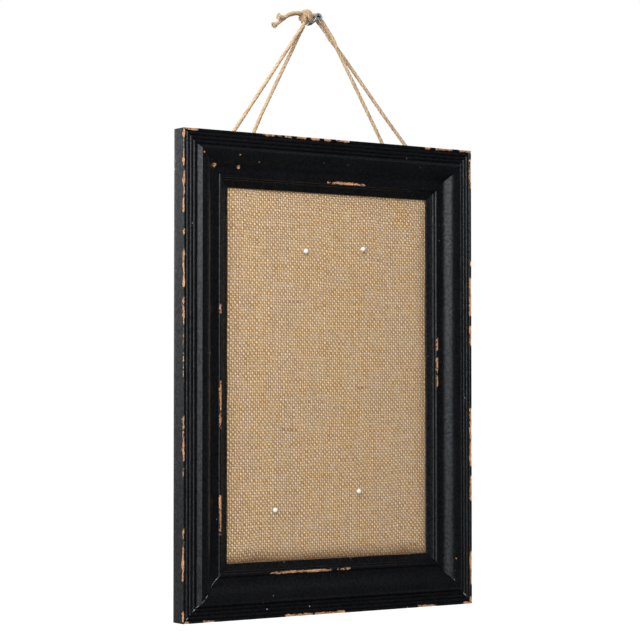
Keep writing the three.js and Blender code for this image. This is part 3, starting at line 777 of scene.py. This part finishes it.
def moulding_section(s):
    """Points of the moulding's section (inwards, backwards), the run to each, and the bead's middle.

    The points go from the back up the outer edge, over reeds, shoulder, crest, ogee, hollow, bead and bevel
    to the sight edge, and back through the rabbet. The run starts at the outer front edge.
    """
    depth = FRAME_BACK - FRAME_FRONT - s.crest_rise
    bands = [
        s.edge_width + s.reed_count * s.reed_width, s.shoulder_width, s.crest_width, s.ogee_width,
        s.hollow_width, s.bead_width + s.fillet_width, s.bevel_width,
    ]
    reeds, crest, ogee, hollow, bead, bevel, sight = np.cumsum(bands)
    ogee_top = s.crest_fall - s.crest_rise
    foot = s.hollow_depth + s.bead_quirk
    rabbet = s.sight_depth + s.lip
    groove = s.reed_sink + s.groove_depth
    starts = reeds - s.reed_width * np.arange(s.reed_count + 1, 0, -1)
    edge, *ridges = [arc_over(start, s.reed_width, groove, s.groove_depth, 10) for start in starts]
    corner = np.interp(0, edge[:, 0], edge[:, 1])
    edge = np.vstack([[(0, corner)], edge[edge[:, 0] > 0.1 * MM]])
    ridges = [edge] + [ridge[1:] for ridge in ridges]
    outer = [(s.arris, depth), (0.29 * s.arris, depth - 0.29 * s.arris), (0, depth - s.arris)]
    outer += [(0, depth * part + corner * (1 - part)) for part in (0.7, 0.45, 0.25, 0.13, 0.06)]
    swell = bezier([(crest, -s.crest_rise), (crest + s.crest_width / 2, -s.crest_rise), (ogee, ogee_top)], 9)
    bends = [(ogee + s.ogee_bend, ogee_top + s.crest_fall), (hollow - s.ogee_bend, s.hollow_depth)]
    slope = bezier([(ogee, ogee_top), *bends, (hollow, s.hollow_depth)], 14)[1:]
    flat = np.array([(hollow + (bead - hollow) * part, s.hollow_depth) for part in (0.35, 0.7, 1.0)])
    round_bead = arc_over(bead, s.bead_width, foot, s.bead_width / 2, 15)
    below = foot + s.bevel_step
    inner = [(bevel, foot), (bevel + 0.25 * MM, below)]
    inner += [
        (bevel + part * (sight - bevel), below + part * (s.sight_depth - below)) for part in (0.1, 0.5, 0.92)
    ]
    inner += [(sight - 0.25 * MM, s.sight_depth - 0.12 * MM), (sight, s.sight_depth + 0.2 * MM)]
    inner += [(sight, rabbet), (sight - s.rabbet_width, rabbet), (sight - s.rabbet_width, depth - s.arris)]
    inner += [(sight - s.rabbet_width - s.arris, depth)]
    cove = (crest - 0.4 * s.shoulder_width, -0.5 * s.crest_rise)
    shoulder = bezier([(reeds + 0.1 * MM, s.reed_sink), cove, (crest, -s.crest_rise)], 7)[:-1]
    section = np.vstack([outer, *ridges, shoulder, swell, slope, flat, round_bead, inner])
    run = np.concatenate([[0], np.cumsum(np.linalg.norm(np.diff(section, axis=0), axis=1))])
    return section, run - run[len(outer)], bead + s.bead_width / 2


def rub_depth(name, size, along, inwards, run, bead, ends):
    """How deep each point is rubbed: the deepest of the bell shapes of all rubs and chips there.

    A rub is a bell across its band between its two ends. A chip is a round bell. Pale marks are below nought:
    a narrow bell about the cut end, in uneven stretches, and a bell across each scuff.
    """
    bead_run = np.interp(bead, inwards[SECTION_FRONT], run[SECTION_FRONT])
    bands = {
        "edge": (-0.8 * MM, 1.25 * MM) if name == "left_stile" else (0.7 * MM, 1.4 * MM),
        "bead": (bead_run, 1.3 * MM),
    }
    depth = np.zeros(along.shape)
    for band, (middle, wide) in bands.items():
        across = bell((run - middle) / wide)
        for start, end, strength in RUBS.get((name, band), []):
            depth = np.maximum(depth, strength * window(along, start, end, 0.006) * across)
    for place, inward, radius in CHIPS.get(name, []):
        far = np.hypot((along - place) * size, inwards - inward) / radius
        depth = np.maximum(depth, 1.3 * bell(far))
    patches = ease(1.6 * cloud(inwards / (1.9 * MM) + 0 * along, along * 2 + LENGTHS[name], 31) + 0.35)
    outer = {"left_stile": 0.85, "right_stile": 0.95 * ease((26 * MM - inwards) / (6 * MM))}.get(name, 0.0)
    pale = bell(ends / (0.45 * MM)) * (run > 0) * patches * (0.1 + outer * ease(8 * along - 5))
    for start, end, back in SCUFFS.get(name, []):
        pale = np.maximum(pale, window(along, start, end, 0.004) * bell((run - run[0] - back) / (0.6 * MM)))
    return np.where(depth > 0.15, depth, -pale)


def moulding_surface(name, s):
    """One mitred length: the section carried along X between ends that lean in by its own width, then turned.

    A rubbed point sinks back towards the wood by its depth times a random share.
    """
    section, run, bead = moulding_section(s)
    upright = "stile" in name
    size = FRAME_TOP - FRAME_FOOT if upright else FRAME_RIGHT - FRAME_LEFT
    offset = (FRAME_RIGHT - FRAME_LEFT if upright else FRAME_TOP - FRAME_FOOT) / 2
    rows = int(size / s.step) + 1
    inwards, back = section.T
    reach = size / 2 - inwards - s.mitre_gap / np.sqrt(2)
    x = np.linspace(-1, 1, rows)[:, None] * reach[None]
    along = 0.5 + x / size if LENGTHS[name] < 180 else 0.5 - x / size
    wear_and_shade = rub_depth(name, size, along, inwards, run, bead, reach - np.abs(x))
    grain = cloud(x / (2.2 * MM), np.broadcast_to(run / (1.3 * MM), x.shape), 11 + LENGTHS[name])
    sink = s.chip_depth * ease(wear_and_shade + 0.5 * grain - 0.25)
    tangent = unit(np.gradient(section, axis=0))
    deep_in = inwards[None] - tangent[:, 1][None] * sink
    deep_back = back[None] + tangent[:, 0][None] * sink
    angle = np.radians(LENGTHS[name])
    up = offset - deep_in
    points = np.stack(
        [
            x * np.cos(angle) + up * np.sin(angle) + (FRAME_LEFT + FRAME_RIGHT) / 2,
            FRAME_FRONT + s.crest_rise + deep_back,
            up * np.cos(angle) - x * np.sin(angle) + (FRAME_TOP + FRAME_FOOT) / 2,
        ],
        axis=-1,
    )
    around = np.append(run, run[-1] + s.rabbet_width)

    def surface(row, column):
        return x[row, column % len(run)], around[column]

    return {"points": points, "uv": surface, "wear_and_shade": wear_and_shade, "caps": True}


def fold_over(flat, half, depth, radius):
    """Folds a flat width round a board: straight to the edge, a quarter turn, down its side, back behind it.

    Gives the place across, the depth, and the outward direction as across and depth parts.
    """
    side = np.sign(flat)
    quarter = radius * np.pi / 2
    wall = depth - 2 * radius
    ahead = np.abs(flat) - (half - radius)
    first = np.clip(ahead, 0, quarter) / radius
    down = np.clip(ahead - quarter, 0, wall)
    second = np.clip(ahead - quarter - wall, 0, quarter) / radius
    behind = np.clip(ahead - 2 * quarter - wall, 0, None)
    turn = first + second
    across = np.minimum(np.abs(flat), half - radius) + radius * np.sin(np.minimum(turn, np.pi / 2))
    across = across - radius * (1 - np.cos(second)) - behind
    deep = radius * (1 - np.cos(first)) + down + radius * np.sin(second)
    return side * across, deep, side * np.sin(turn), -np.cos(turn)


def burlap_surface(s):
    """The cloth: a grid with two steps to each thread, folded round the board.

    The middle of a crossing stands up by the swell and a gap sinks by it: the height is the mean of a cosine
    of each thread's phase. Threads wander by soft noise. Inside the lip the cloth rolls up to its crown: the
    rise is one less the cube of what is left of the way. The four corners are cut out.
    """
    size = np.array(PANEL_HIGH - PANEL_LOW)[[0, 2]]
    depth = PANEL_HIGH.y - PANEL_LOW.y
    counts = np.array([s.warp_count, s.weft_count])
    pitch = size / counts
    extra = np.ceil((depth + s.hem) / pitch).astype(int)
    lines = [np.arange(-more, count + more + 0.25, 0.5) for more, count in zip(extra, counts)]
    flat = [lines[k] * pitch[k] - size[k] / 2 for k in (0, 1)]
    left = [size[k] / 2 - np.abs(flat[k]) for k in (0, 1)]
    loose = [ease(way / LIP_COVER) for way in left]
    still = [1 - np.clip((way - LIP_COVER) / s.roll, 0, 1) for way in left]
    cut = [way < s.swell + s.fold for way in left]
    x, deep_x, out_x, in_x = fold_over(flat[0][None], size[0] / 2 - s.swell, depth - 2 * s.swell, s.fold)
    z, deep_z, out_z, in_z = fold_over(flat[1][:, None], size[1] / 2 - s.swell, depth - 2 * s.swell, s.fold)
    u, v = np.meshgrid(*lines)
    wander = s.wander * loose[0] * loose[1][:, None]
    stray_x = cloud(u / 46, v / 9, 3) + 0.8 * cloud(u / 2.2, v / 15, 4) + 0.2 * cloud(u, v, 12)
    stray_z = cloud(u / 9, v / 46, 5) + 0.8 * cloud(u / 15, v / 2.2, 6) + 0.9 * cloud(u / 60, v / 80, 7)
    swell = s.swell * 0.5 * (np.cos(TURN * (u - 0.5)) + np.cos(TURN * (v - 0.5)))
    swell = swell * (1 + 0.45 * cloud(u / 1.7, v / 1.7, 8))
    crown = s.crown * (1 - still[0] ** 3) * (1 - still[1] ** 3)[:, None]
    # Painted shade where the cloth rolls back under the lip: full along the foot, weaker at the top and sides
    foot = np.where(flat[1] < 0, 1.0, 0.25)
    shade = np.maximum((still[1] ** 2 * foot)[:, None], 0.3 * still[0] ** 2)
    out_y = np.where(cut[1][:, None], in_z, in_x)
    middle = (PANEL_LOW + PANEL_HIGH) / 2
    points = np.stack(
        [
            x + wander * stray_x + out_x * swell + middle.x,
            PANEL_LOW.y + s.swell + deep_x + deep_z + out_y * (swell + crown),
            z + wander * stray_z + out_z * swell + middle.z,
        ],
        axis=-1,
    )

    def keep(row, column):
        return ~(cut[1][row].any(axis=1) & cut[0][column].any(axis=1))

    def surface(row, column):
        return lines[0][column] + 400.0, lines[1][row] + 400.0

    whole = (counts + 2 * extra) * pitch
    area = whole[0] * whole[1] - np.prod(whole - size)
    grid = {"points": points, "uv": surface, "wear_and_shade": shade, "keep": keep, "close_columns": False}
    return grid, tuple(whole), area


def hairs(starts, directions, lengths, bends, thickness):
    """Thin fibres: three-sided tapering tubes that bend sideways with the square of the way along them."""
    t = np.linspace(0, 1, HAIR_ROWS)[None, :, None]
    line = starts[:, None] + directions[:, None] * lengths[:, None, None] * t + bends[:, None] * t * t
    along = unit(np.gradient(line, axis=1))
    aside = unit(np.cross(along, np.array([0.37, 0.82, 0.44])))
    third = np.cross(along, aside)
    angle = np.arange(HAIR_COLUMNS) / HAIR_COLUMNS * TURN
    reach = thickness / 2 * (1 - 0.7 * t)
    ring = [line + reach * (aside * np.cos(a) + third * np.sin(a)) for a in angle]
    return np.stack(ring, axis=2)


def hair_grids(places):
    """Grids for make_piece, one for each fibre, with the way along it as u."""
    surface = wrapped(np.arange(HAIR_ROWS) * 0.5 * MM, 0.6 * MM, HAIR_COLUMNS)
    return [{"points": place, "uv": surface, "caps": True} for place in places]


def eye_middle(name, s):
    """Middle of a screw eye's ring."""
    low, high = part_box("screw_eye_" + name)
    return np.array([(low.x + high.x) / 2, high.y - s.eye_ring - s.eye_wire / 2, (low.z + high.z) / 2])


def eye_turn(name, start, end, steps, s):
    """The cord's turn under the top of an eye's wire: a circle about the wire, a gap away from it.

    It starts and ends at angles in degrees from the side, level with the wire.
    """
    side = 1 if name.startswith("right") else -1
    reach = (s.hardware.eye_wire + s.cord.diameter) / 2 + 0.3 * MM
    angle = np.radians(np.linspace(start, end, steps + 1))
    wire = eye_middle(name, s.hardware) + np.array([0, 0, s.hardware.eye_ring])
    return wire + reach * np.stack([side * np.cos(angle), 0 * angle, np.sin(angle)], axis=1)


def cord_route(s):
    """The whole cord: upper end, right loop, knot, left loop, knot, lower end."""
    stretches = [
        np.vstack([UPPER_TAIL[::-1], RIGHT_LOOP_OUT]) * MM,
        eye_turn("right_inner", 208, 270, 3, s),
        eye_turn("right_outer", 270, 401, 6, s),
        np.vstack([RIGHT_LOOP_BACK, KNOT_FIRST_PASS, LEFT_LOOP_OUT]) * MM,
        eye_turn("left_inner", 208, 270, 3, s),
        eye_turn("left_outer", 270, 399, 6, s),
        np.vstack([LEFT_LOOP_BACK, KNOT_SECOND_PASS, LOWER_TAIL]) * MM,
    ]
    return smooth_route(np.vstack(stretches), 0.5 * MM)


def cord_surface(s):
    """The cord: a three-ply twisted section carried along the route, uneven, and flared at its cut ends."""
    route, run = cord_route(s)
    end = np.minimum(run, run[-1] - run)
    flare = 1 + 0.75 * (1 - ease(end / (5 * MM)))
    uneven = 1 + 0.05 * cloud(run / (4 * MM), 0 * run, 21) + 0.03 * cloud(run / (1.1 * MM), 0 * run, 22)
    section = plies(run, CORD_COLUMNS, s.cord.diameter, s.cord.lay, s.cord.groove, flare * uneven)
    points = tube(route, np.array([0.0, 1.0, 0.0]), *section)
    surface = wrapped(run, np.pi * s.cord.diameter, CORD_COLUMNS)
    return {"points": points, "uv": surface, "caps": True}, route


def knot_surfaces(s):
    """The knot: two strands side by side on one overhand turn, over a plain core.

    The turn winds twice round the cord's axis while it rolls three times about that ring, so each belt
    crosses the lump at a slant.
    """
    low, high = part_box("cord_knot")
    middle = np.array((low + high) / 2) + np.array([0.5, -0.2, -0.4]) * MM
    t = np.linspace(0, TURN, 361)[:-1]
    ring, roll, stretch = s.knot_ring, s.knot_roll, s.knot_stretch
    away = ring + roll * np.cos(3 * t)
    spin = 2 * t + 0.9
    path = np.stack([roll * stretch * np.sin(3 * t), away * np.cos(spin), away * np.sin(spin)], axis=1)
    outward = np.stack([np.sin(3 * t), np.cos(3 * t) * np.cos(spin), np.cos(3 * t) * np.sin(spin)], axis=1)
    closed = np.vstack([path[-1:], path, path[:1]])
    along = unit((closed[2:] - closed[:-2]) / 2)
    outward = square_to(outward, along)
    beside = np.cross(along, outward)
    run = np.linspace(0, KNOT_TWISTS * s.lay, len(t) + 1)
    section = plies(run[:-1], KNOT_COLUMNS, s.diameter * 1.02, s.lay, s.groove)
    surface = wrapped(run, np.pi * s.diameter, KNOT_COLUMNS)
    handled = np.full((len(t), KNOT_COLUMNS), 0.42)
    grids = []
    for side in (-1, 1):
        points = sweep(middle + path + beside * side * 0.44 * s.diameter, outward, beside, *section)
        grids.append({"points": points, "uv": surface, "wear_and_shade": handled, "close_rows": True})
    pole = np.linspace(0.1 - np.pi / 2, np.pi / 2 - 0.1, 17)[:, None]
    turn = np.linspace(0, TURN, CORE_COLUMNS, endpoint=False)[None]
    lump = 1 + 0.06 * np.cos(3 * turn) * np.cos(pole)
    ball = np.stack(
        [np.sin(pole) * lump, np.cos(pole) * np.cos(turn) * lump, np.cos(pole) * np.sin(turn) * lump], axis=-1
    )
    core = np.array([roll * stretch + 0.4 * s.diameter, ring + roll * 0.55, ring + roll * 0.55])
    surface = wrapped(np.arange(len(pole)) * 0.6 * MM, np.pi * s.diameter, CORE_COLUMNS)
    grids.append({"points": middle + ball * core, "uv": surface, "caps": True})
    return grids


def fray(s, route):
    """Frayed fibres at both cut ends: they start inside the end and fan out along its direction."""
    chance = np.random.default_rng(5)
    found = []
    for end, before in ((route[0], route[14]), (route[-1], route[-15])):
        count = s.fray_count
        heading = unit(end - before)
        aside = unit(np.cross(heading, np.array([0.1, 1.0, 0.2])))
        third = np.cross(heading, aside)
        turn, away = chance.uniform(0, TURN, count), np.sqrt(chance.uniform(0, 1, count))
        fan = aside * (np.cos(turn) * away)[:, None] + third * (np.sin(turn) * away)[:, None]
        starts = end - heading * 1.5 * MM + fan * s.diameter * 0.78
        directions = unit(heading + 0.3 * fan + chance.normal(0, 0.1, (count, 3)))
        bends = chance.normal(0, 0.3 * MM, (count, 3))
        found.append(hairs(starts, directions, chance.uniform(1.6, 2.6, count) * MM, bends, 0.4 * MM))
    return np.concatenate(found)


def lathe(profile, axis_point, axis, turns=48):
    """A profile of (radius, height) spun about an axis: each point keeps its height and goes round once."""
    axis = unit(np.asarray(axis, float))
    aside = unit(np.cross(axis, np.array([0.97, 0.1, 0.2])))
    third = np.cross(axis, aside)
    radius, height = np.asarray(profile, float).T
    turn = np.arange(turns) / turns * TURN
    points = (
        np.asarray(axis_point)
        + axis * height[:, None, None]
        + (aside * np.cos(turn)[:, None] + third * np.sin(turn)[:, None])[None] * radius[:, None, None]
    )
    return {"points": points, "uv": wrapped(height, TURN * radius.max(), turns), "caps": True}


def screw_grid(s):
    """The wall screw: a threaded shank and a countersunk head with a cross recess, about its tilted axis.

    The thread adds a ridge where the height in pitches less the share of a turn is near a whole number. The
    recess sinks where the place on the head is within either arm of the cross, deepest in the middle.
    """
    axis = np.array([0.0, -np.cos(s.screw_tilt), np.sin(s.screw_tilt)])
    aside = np.array([1.0, 0.0, 0.0])
    third = np.cross(axis, aside)
    tip = s.screw_reach - s.screw_length
    neck = s.screw_reach - s.head_height
    core, crest = 0.34 * s.screw_diameter, 0.5 * s.screw_diameter
    height = np.linspace(tip, neck, 240)
    turn = np.arange(SCREW_COLUMNS) / SCREW_COLUMNS * TURN
    phase = (height[:, None] / s.thread_pitch - turn[None] / TURN + 0.5) % 1 - 0.5
    ridge = np.clip(1 - np.abs(phase) / 0.3, 0, 1)
    taper = np.clip((height - tip) / (6 * MM), 0.02, 1)[:, None]
    smooth = ease((neck - 0.7 * MM - height) / (0.8 * MM))[:, None]
    shank = taper * (core + (crest - core) * ridge * smooth)
    head = 0.5 * s.screw_head
    rise = np.array([neck + 0.1 * MM, *(s.screw_reach - np.array([0.45, 0.3, 0.08]) * MM)])
    wide = np.array([1.02 * crest, 0.98 * head, head, 0.985 * head])
    out = np.linspace(0.985 * head, 0.02 * head, 30)[1:, None] + 0 * turn
    x, y = np.abs(out * np.cos(turn)), np.abs(out * np.sin(turn))
    arm, wing = np.maximum(x, y), np.minimum(x, y)
    half = s.recess_half * (1 - 0.2 * arm / s.recess_arm)
    sunk = ease((half - wing) / (0.16 * MM) + 0.5) * ease((s.recess_arm - arm) / (0.4 * MM))
    domed = 0.12 * MM * (1 - (out / head) ** 2)
    face = s.screw_reach - 0.08 * MM + domed - sunk * s.recess_depth * (1 - 0.55 * arm / s.recess_arm)
    body = np.concatenate([height, rise])[:, None] + 0 * turn
    circle = aside * np.cos(turn)[:, None] + third * np.sin(turn)[:, None]
    height = np.vstack([body, face])
    radius = np.vstack([shank, wide[:, None] + 0 * turn, out])
    points = axis * height[..., None] + circle * radius[..., None]
    # Painted shade: darker down the shank towards the wall, and dark in the cross recess
    painted_shade = np.vstack([0.6 * ease(-body / (9 * MM)), sunk])
    surface = wrapped(np.arange(len(points)) * 0.1 * MM, 10.8 * MM, SCREW_COLUMNS)
    return {"points": points, "uv": surface, "wear_and_shade": painted_shade, "caps": True}


def pin_grids(name, s):
    """A map pin's ball with its short collar, and its needle, each a profile spun about the pin's axis."""
    low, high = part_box("pin_head_" + name)
    middle = np.array((low + high) / 2)
    middle[1] = low.y + s.pin_head / 2
    radius = s.pin_head / 2
    swing = np.linspace(-np.pi / 2 + 0.05, np.pi / 2 - 0.32, 26)
    ball = np.stack([radius * np.cos(swing), radius * np.sin(swing)], axis=1)
    collar = [(0.8 * s.pin_needle, 1.01 * radius), (0.62 * s.pin_needle, 1.08 * radius)]
    head = lathe(np.vstack([ball, collar]), middle, (0, 1, 0), 36)
    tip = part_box("pin_needle_" + name)[1].y - middle[1]
    half = s.pin_needle / 2
    shaft = [(half, 0.6 * radius), (half, radius), (half, 0.5 * (radius + tip)), (half, tip - 1.6 * MM)]
    shaft += [(0.55 * half, tip - 0.7 * MM), (0.05 * half, tip)]
    return head, lathe(shaft, middle, (0, 1, 0), 14)


def eye_grid(name, s):
    """A screw eye: wire bent round a ring from beside its shank, then down the shank into the wood."""
    ring, wire = s.eye_ring, s.eye_wire
    middle = eye_middle(name, s)
    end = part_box("screw_eye_" + name)[0].y
    angle = np.radians(np.linspace(200, 520, 60))
    loop = middle + ring * np.stack([0 * angle, np.cos(angle), np.sin(angle)], axis=1)
    bend = middle + np.array([[0, -ring - 0.35 * MM, 0.35 * MM], [0, -ring - 1.2 * MM, 0]])
    shank = np.linspace(-ring - 2.2 * MM, end - middle[1] + 0.2 * MM, 12)
    shank = middle + np.stack([0 * shank, shank, 0 * shank], axis=1)
    route, run = smooth_route(np.vstack([loop, bend, shank]), 0.3 * MM)
    turn = np.arange(EYE_COLUMNS) / EYE_COLUMNS * TURN
    point = np.clip((run[-1] - run) / (2.5 * MM), 0.12, 1)
    points = tube(route, np.array([1.0, 0.0, 0.0]), turn[None], wire / 2 * point[:, None] + 0 * turn)
    return {"points": points, "uv": wrapped(run, np.pi * wire, EYE_COLUMNS), "caps": True}


# Operators


class MEMO_OT_stage(bpy.types.Operator):
    """Sets up the camera, the lights, the floor and the background"""

    bl_idname = "memo_board.build_stage"
    bl_label = "Stage"

    def execute(self, context):
        s = context.scene.memo_board.stage
        scene = context.scene
        scene.view_settings.view_transform = "Standard"
        lens = bpy.data.cameras.new("camera")
        lens.lens, lens.sensor_width = s.lens, s.sensor
        lens.clip_start, lens.clip_end = 0.01, 50.0
        camera = bpy.data.objects.new("camera", lens)
        camera.location = s.camera_place
        camera.rotation_euler = Euler((np.pi / 2 + s.camera_rise, 0.0, -s.camera_turn))
        scene.collection.objects.link(camera)
        scene.camera = camera
        self.add_lamp("key_light", s.key_place, s.key_size, s.key_power)
        self.add_lamp("fill_light", s.fill_place, s.fill_size, s.fill_power)
        self.add_floor(s)
        self.add_world(scene, s)
        return {"FINISHED"}

    def add_lamp(self, name, place, size, power):
        """A square soft box that faces the middle of the board. The room gives the reflections."""
        data = bpy.data.lights.new(name, "AREA")
        data.size, data.energy = size, power
        lamp = bpy.data.objects.new(name, data)
        lamp.location = place
        aim = Vector((0.0, FRAME_FRONT, (FRAME_TOP + FRAME_FOOT) / 2)) - Vector(place)
        lamp.rotation_euler = aim.to_track_quat("-Z", "Y").to_euler()
        lamp.visible_glossy = lamp.visible_camera = False
        bpy.context.scene.collection.objects.link(lamp)

    def add_floor(self, s):
        """A wide level floor that glows pale to the camera, and still takes shadows."""
        side = np.linspace(-s.floor_half, s.floor_half, 27)
        x, y = np.meshgrid(side, side)
        points = np.stack([x, y, np.full(x.shape, FRAME_FOOT - s.floor_drop)], axis=-1)
        grid = {"points": points, "uv": lambda row, column: (side[column], side[row]), "close_columns": False}
        floor = make_piece("floor", [grid])
        grey = rgba(s.background, s.floor_grey)
        constants = {"Base Color": grey, "Roughness": 0.9, "Specular IOR Level": 0.0}
        material, paint, shader, _, _ = new_material("pale_floor", constants)
        seen = paint.node("LightPath").outputs["Is Camera Ray"]
        strength = paint.times(seen, s.floor_glow)
        glow = paint.node("Emission", {"Color": rgba(s.background), "Strength": strength})
        both = paint.node("AddShader", {0: shader.outputs[0], 1: glow.outputs[0]})
        paint.tree.links.new(both.outputs[0], paint.tree.nodes["Material Output"].inputs["Surface"])
        floor.data.materials.append(material)
        floor.visible_glossy = False

    def add_world(self, scene, s):
        """White to the camera, and a room to all else.

        Reflections see a left front and a wall behind that are brighter higher up, under a dark ceiling, and
        a dim right front. Other light comes from the wall behind, and less from the rest of the room.
        """
        world = bpy.data.worlds.new("room")
        world.use_nodes = True
        scene.world = world
        paint = Painter(world.node_tree)
        way = paint.split(paint.node("TexCoord").outputs["Generated"])
        left = paint.span(way[0], -0.3, -0.6)
        behind = paint.span(way[1], -0.25, 0.1)
        tall = paint.math("MAXIMUM", paint.line(way[2], 9.0, 0.6), 0.0)
        tall = paint.times(tall, paint.span(way[2], 0.7, 0.3))
        bright = paint.times(paint.times(tall, paint.span(way[1], 0.05, -0.3)), s.room)
        far = paint.times(paint.line(tall, 0.7, 0.3), 0.5 * s.wall)
        path = paint.node("LightPath").outputs
        back = paint.line(paint.math("MINIMUM", way[0], 0.0), 0.4, way[1])
        mirrored = paint.blend(paint.span(back, -0.25, 0.1), paint.blend(left, s.shade, bright), far)
        spread = paint.blend(behind, s.ambient, s.wall)
        mirror = paint.math("MAXIMUM", path["Is Glossy Ray"], path["Is Transmission Ray"])
        level = paint.blend(path["Is Camera Ray"], paint.blend(mirror, spread, mirrored), 1.0)
        room = paint.node("Background", {"Color": rgba(s.background), "Strength": level})
        output = next(n for n in world.node_tree.nodes if n.type == "OUTPUT_WORLD")
        world.node_tree.links.new(room.outputs[0], output.inputs["Surface"])


class MEMO_OT_cord(bpy.types.Operator):
    """Lays the twisted cord along its route, with its knot and its frayed ends"""

    bl_idname = "memo_board.build_cord"
    bl_label = "Cord"

    def execute(self, context):
        s = context.scene.memo_board
        look = "cord", "jute", jute(s.cord)
        strands = "cord_right_loop", "cord_left_loop", "cord_tail_upper", "cord_tail_lower"
        grid, route = cord_surface(s)
        cord = build("hanging_cord", [grid], *look, *strands)
        knot = build("tied_knot", knot_surfaces(s.cord), *look, "cord_knot")
        ends = build("frayed_ends", hair_grids(fray(s.cord, route)), *look)
        return {"FINISHED"}


class MEMO_OT_moulding(bpy.types.Operator):
    """Makes the four mitred lengths of the frame"""

    bl_idname = "memo_board.build_moulding"
    bl_label = "Moulding"

    def execute(self, context):
        s = context.scene.memo_board.moulding
        material = material_named("worn_paint", black_paint_material, s)
        for name in LENGTHS:
            build("moulding_" + name, [moulding_surface(name, s)], "board", "black_paint", material, name)
        return {"FINISHED"}


class MEMO_OT_burlap(bpy.types.Operator):
    """Weaves the burlap over the board, with loose fibres at the lip"""

    bl_idname = "memo_board.build_burlap"
    bl_label = "Burlap"

    def execute(self, context):
        s = context.scene.memo_board
        weave = material_named("plain_weave", burlap_material, s.burlap)
        grid, flat, area = burlap_surface(s.burlap)
        fibres = self.fibres(s.burlap.fibre_count, s.moulding.rabbet_width - 0.5 * MM)
        cloth = build("woven_burlap", [grid], "board", "burlap", weave, "burlap_cover")
        loose = build("loose_fibres", hair_grids(fibres), "board", "burlap", jute(s.cord))
        return {"FINISHED"}

    def fibres(self, count, inset):
        """Fibres that stand out over the right and lower lips of the opening."""
        chance = np.random.default_rng(9)
        low = np.array(PANEL_LOW) + inset
        high = np.array(PANEL_HIGH) - inset
        right = chance.uniform(0, 1, count) < 0.6
        x = np.where(right, high[0] - 0.3 * MM, chance.uniform(low[0], high[0], count))
        z = np.where(right, chance.uniform(low[2], high[2], count), low[2] + 0.3 * MM)
        starts = np.stack([x, np.full(count, PANEL_LOW.y), z], axis=1)
        lean = np.where(right[:, None], np.array([0.6, -0.7, 0.1]), np.array([0.1, -0.75, -0.5]))
        directions = unit(lean + chance.normal(0, 0.35, (count, 3)))
        directions[:, 1] = -np.abs(directions[:, 1])
        bends = chance.normal(0, 0.9 * MM, (count, 3))
        return hairs(starts, directions, chance.uniform(1.2, 4.0, count) * MM, bends, 0.16 * MM)


class MEMO_OT_pins(bpy.types.Operator):
    """Makes the four map pins"""

    bl_idname = "memo_board.build_pins"
    bl_label = "Map pins"

    def execute(self, context):
        s = context.scene.memo_board.hardware
        bead = material_named("glossy_bead", bead_material, s.bead)
        for name in ("upper_left", "upper_right", "lower_left", "lower_right"):
            head, needle = pin_grids(name, s)
            build("ball_" + name, [head], "pin_" + name, "white_bead", bead, "pin_head_" + name)
            build("needle_" + name, [needle], "pin_" + name, "zinc_steel", zinc(s), "pin_needle_" + name)
        return {"FINISHED"}


class MEMO_OT_hardware(bpy.types.Operator):
    """Makes the wall screw and the screw eyes"""

    bl_idname = "memo_board.build_hardware"
    bl_label = "Screw and eyes"

    def execute(self, context):
        s = context.scene.memo_board.hardware
        build("threaded_screw", [screw_grid(s)], "hanger", "zinc_steel", zinc(s), "wall_screw")
        brass = material_named("brass_plate", metal_material, s.brass, 0.34, 260.0)
        for name in ("left_outer", "left_inner", "right_inner", "right_outer"):
            build("bent_eye_" + name, [eye_grid(name, s)], "board", "brass_wire", brass, "screw_eye_" + name)
        return {"FINISHED"}


class MEMO_OT_back(bpy.types.Operator):
    """Gives the board, the backing card, the framer's points and the corner nails their materials"""

    bl_idname = "memo_board.finish_back"
    bl_label = "Back"

    def execute(self, context):
        s = context.scene.memo_board.hardware
        card = material_named("pressed_card", pulp_material, s.card, 700.0)
        pulp = material_named("soft_board", pulp_material, s.fibreboard, 420.0)
        finishes = {"backing_card": card, "pin_board": pulp}
        for name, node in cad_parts.items():
            if name in finishes or name.startswith(("framers_point", "corner_nail")):
                node.data.materials.clear()
                node.data.materials.append(finishes.get(name) or zinc(s))
        return {"FINISHED"}


class MEMO_PT_panel(bpy.types.Panel):
    """Sidebar panel that lists the memo board's pieces"""

    bl_idname = "MEMO_PT_panel"
    bl_label = "Memo Board"
    bl_space_type = "VIEW_3D"
    bl_region_type = "UI"
    bl_category = "Memo Board"

    def draw(self, context):
        for operator in OPERATORS:
            self.layout.operator(operator.bl_idname, text=operator.bl_label)


OPERATORS = [
    MEMO_OT_stage, MEMO_OT_cord, MEMO_OT_moulding, MEMO_OT_burlap, MEMO_OT_pins, MEMO_OT_hardware,
    MEMO_OT_back,
]
CLASSES = [
    MouldingSettings, BurlapSettings, CordSettings, HardwareSettings, StageSettings, MemoBoardSettings,
    *OPERATORS, MEMO_PT_panel,
]


def register():
    for item in CLASSES:
        bpy.utils.register_class(item)
    bpy.types.Scene.memo_board = PointerProperty(type=MemoBoardSettings)


def unregister():
    del bpy.types.Scene.memo_board
    for item in reversed(CLASSES):
        bpy.utils.unregister_class(item)


def main():
    """Builds every piece in order."""
    register()
    bpy.ops.memo_board.build_stage()
    bpy.ops.memo_board.build_cord()
    bpy.ops.memo_board.build_moulding()
    bpy.ops.memo_board.build_burlap()
    bpy.ops.memo_board.build_pins()
    bpy.ops.memo_board.build_hardware()
    bpy.ops.memo_board.finish_back()


if __name__ == "__main__":
    main()
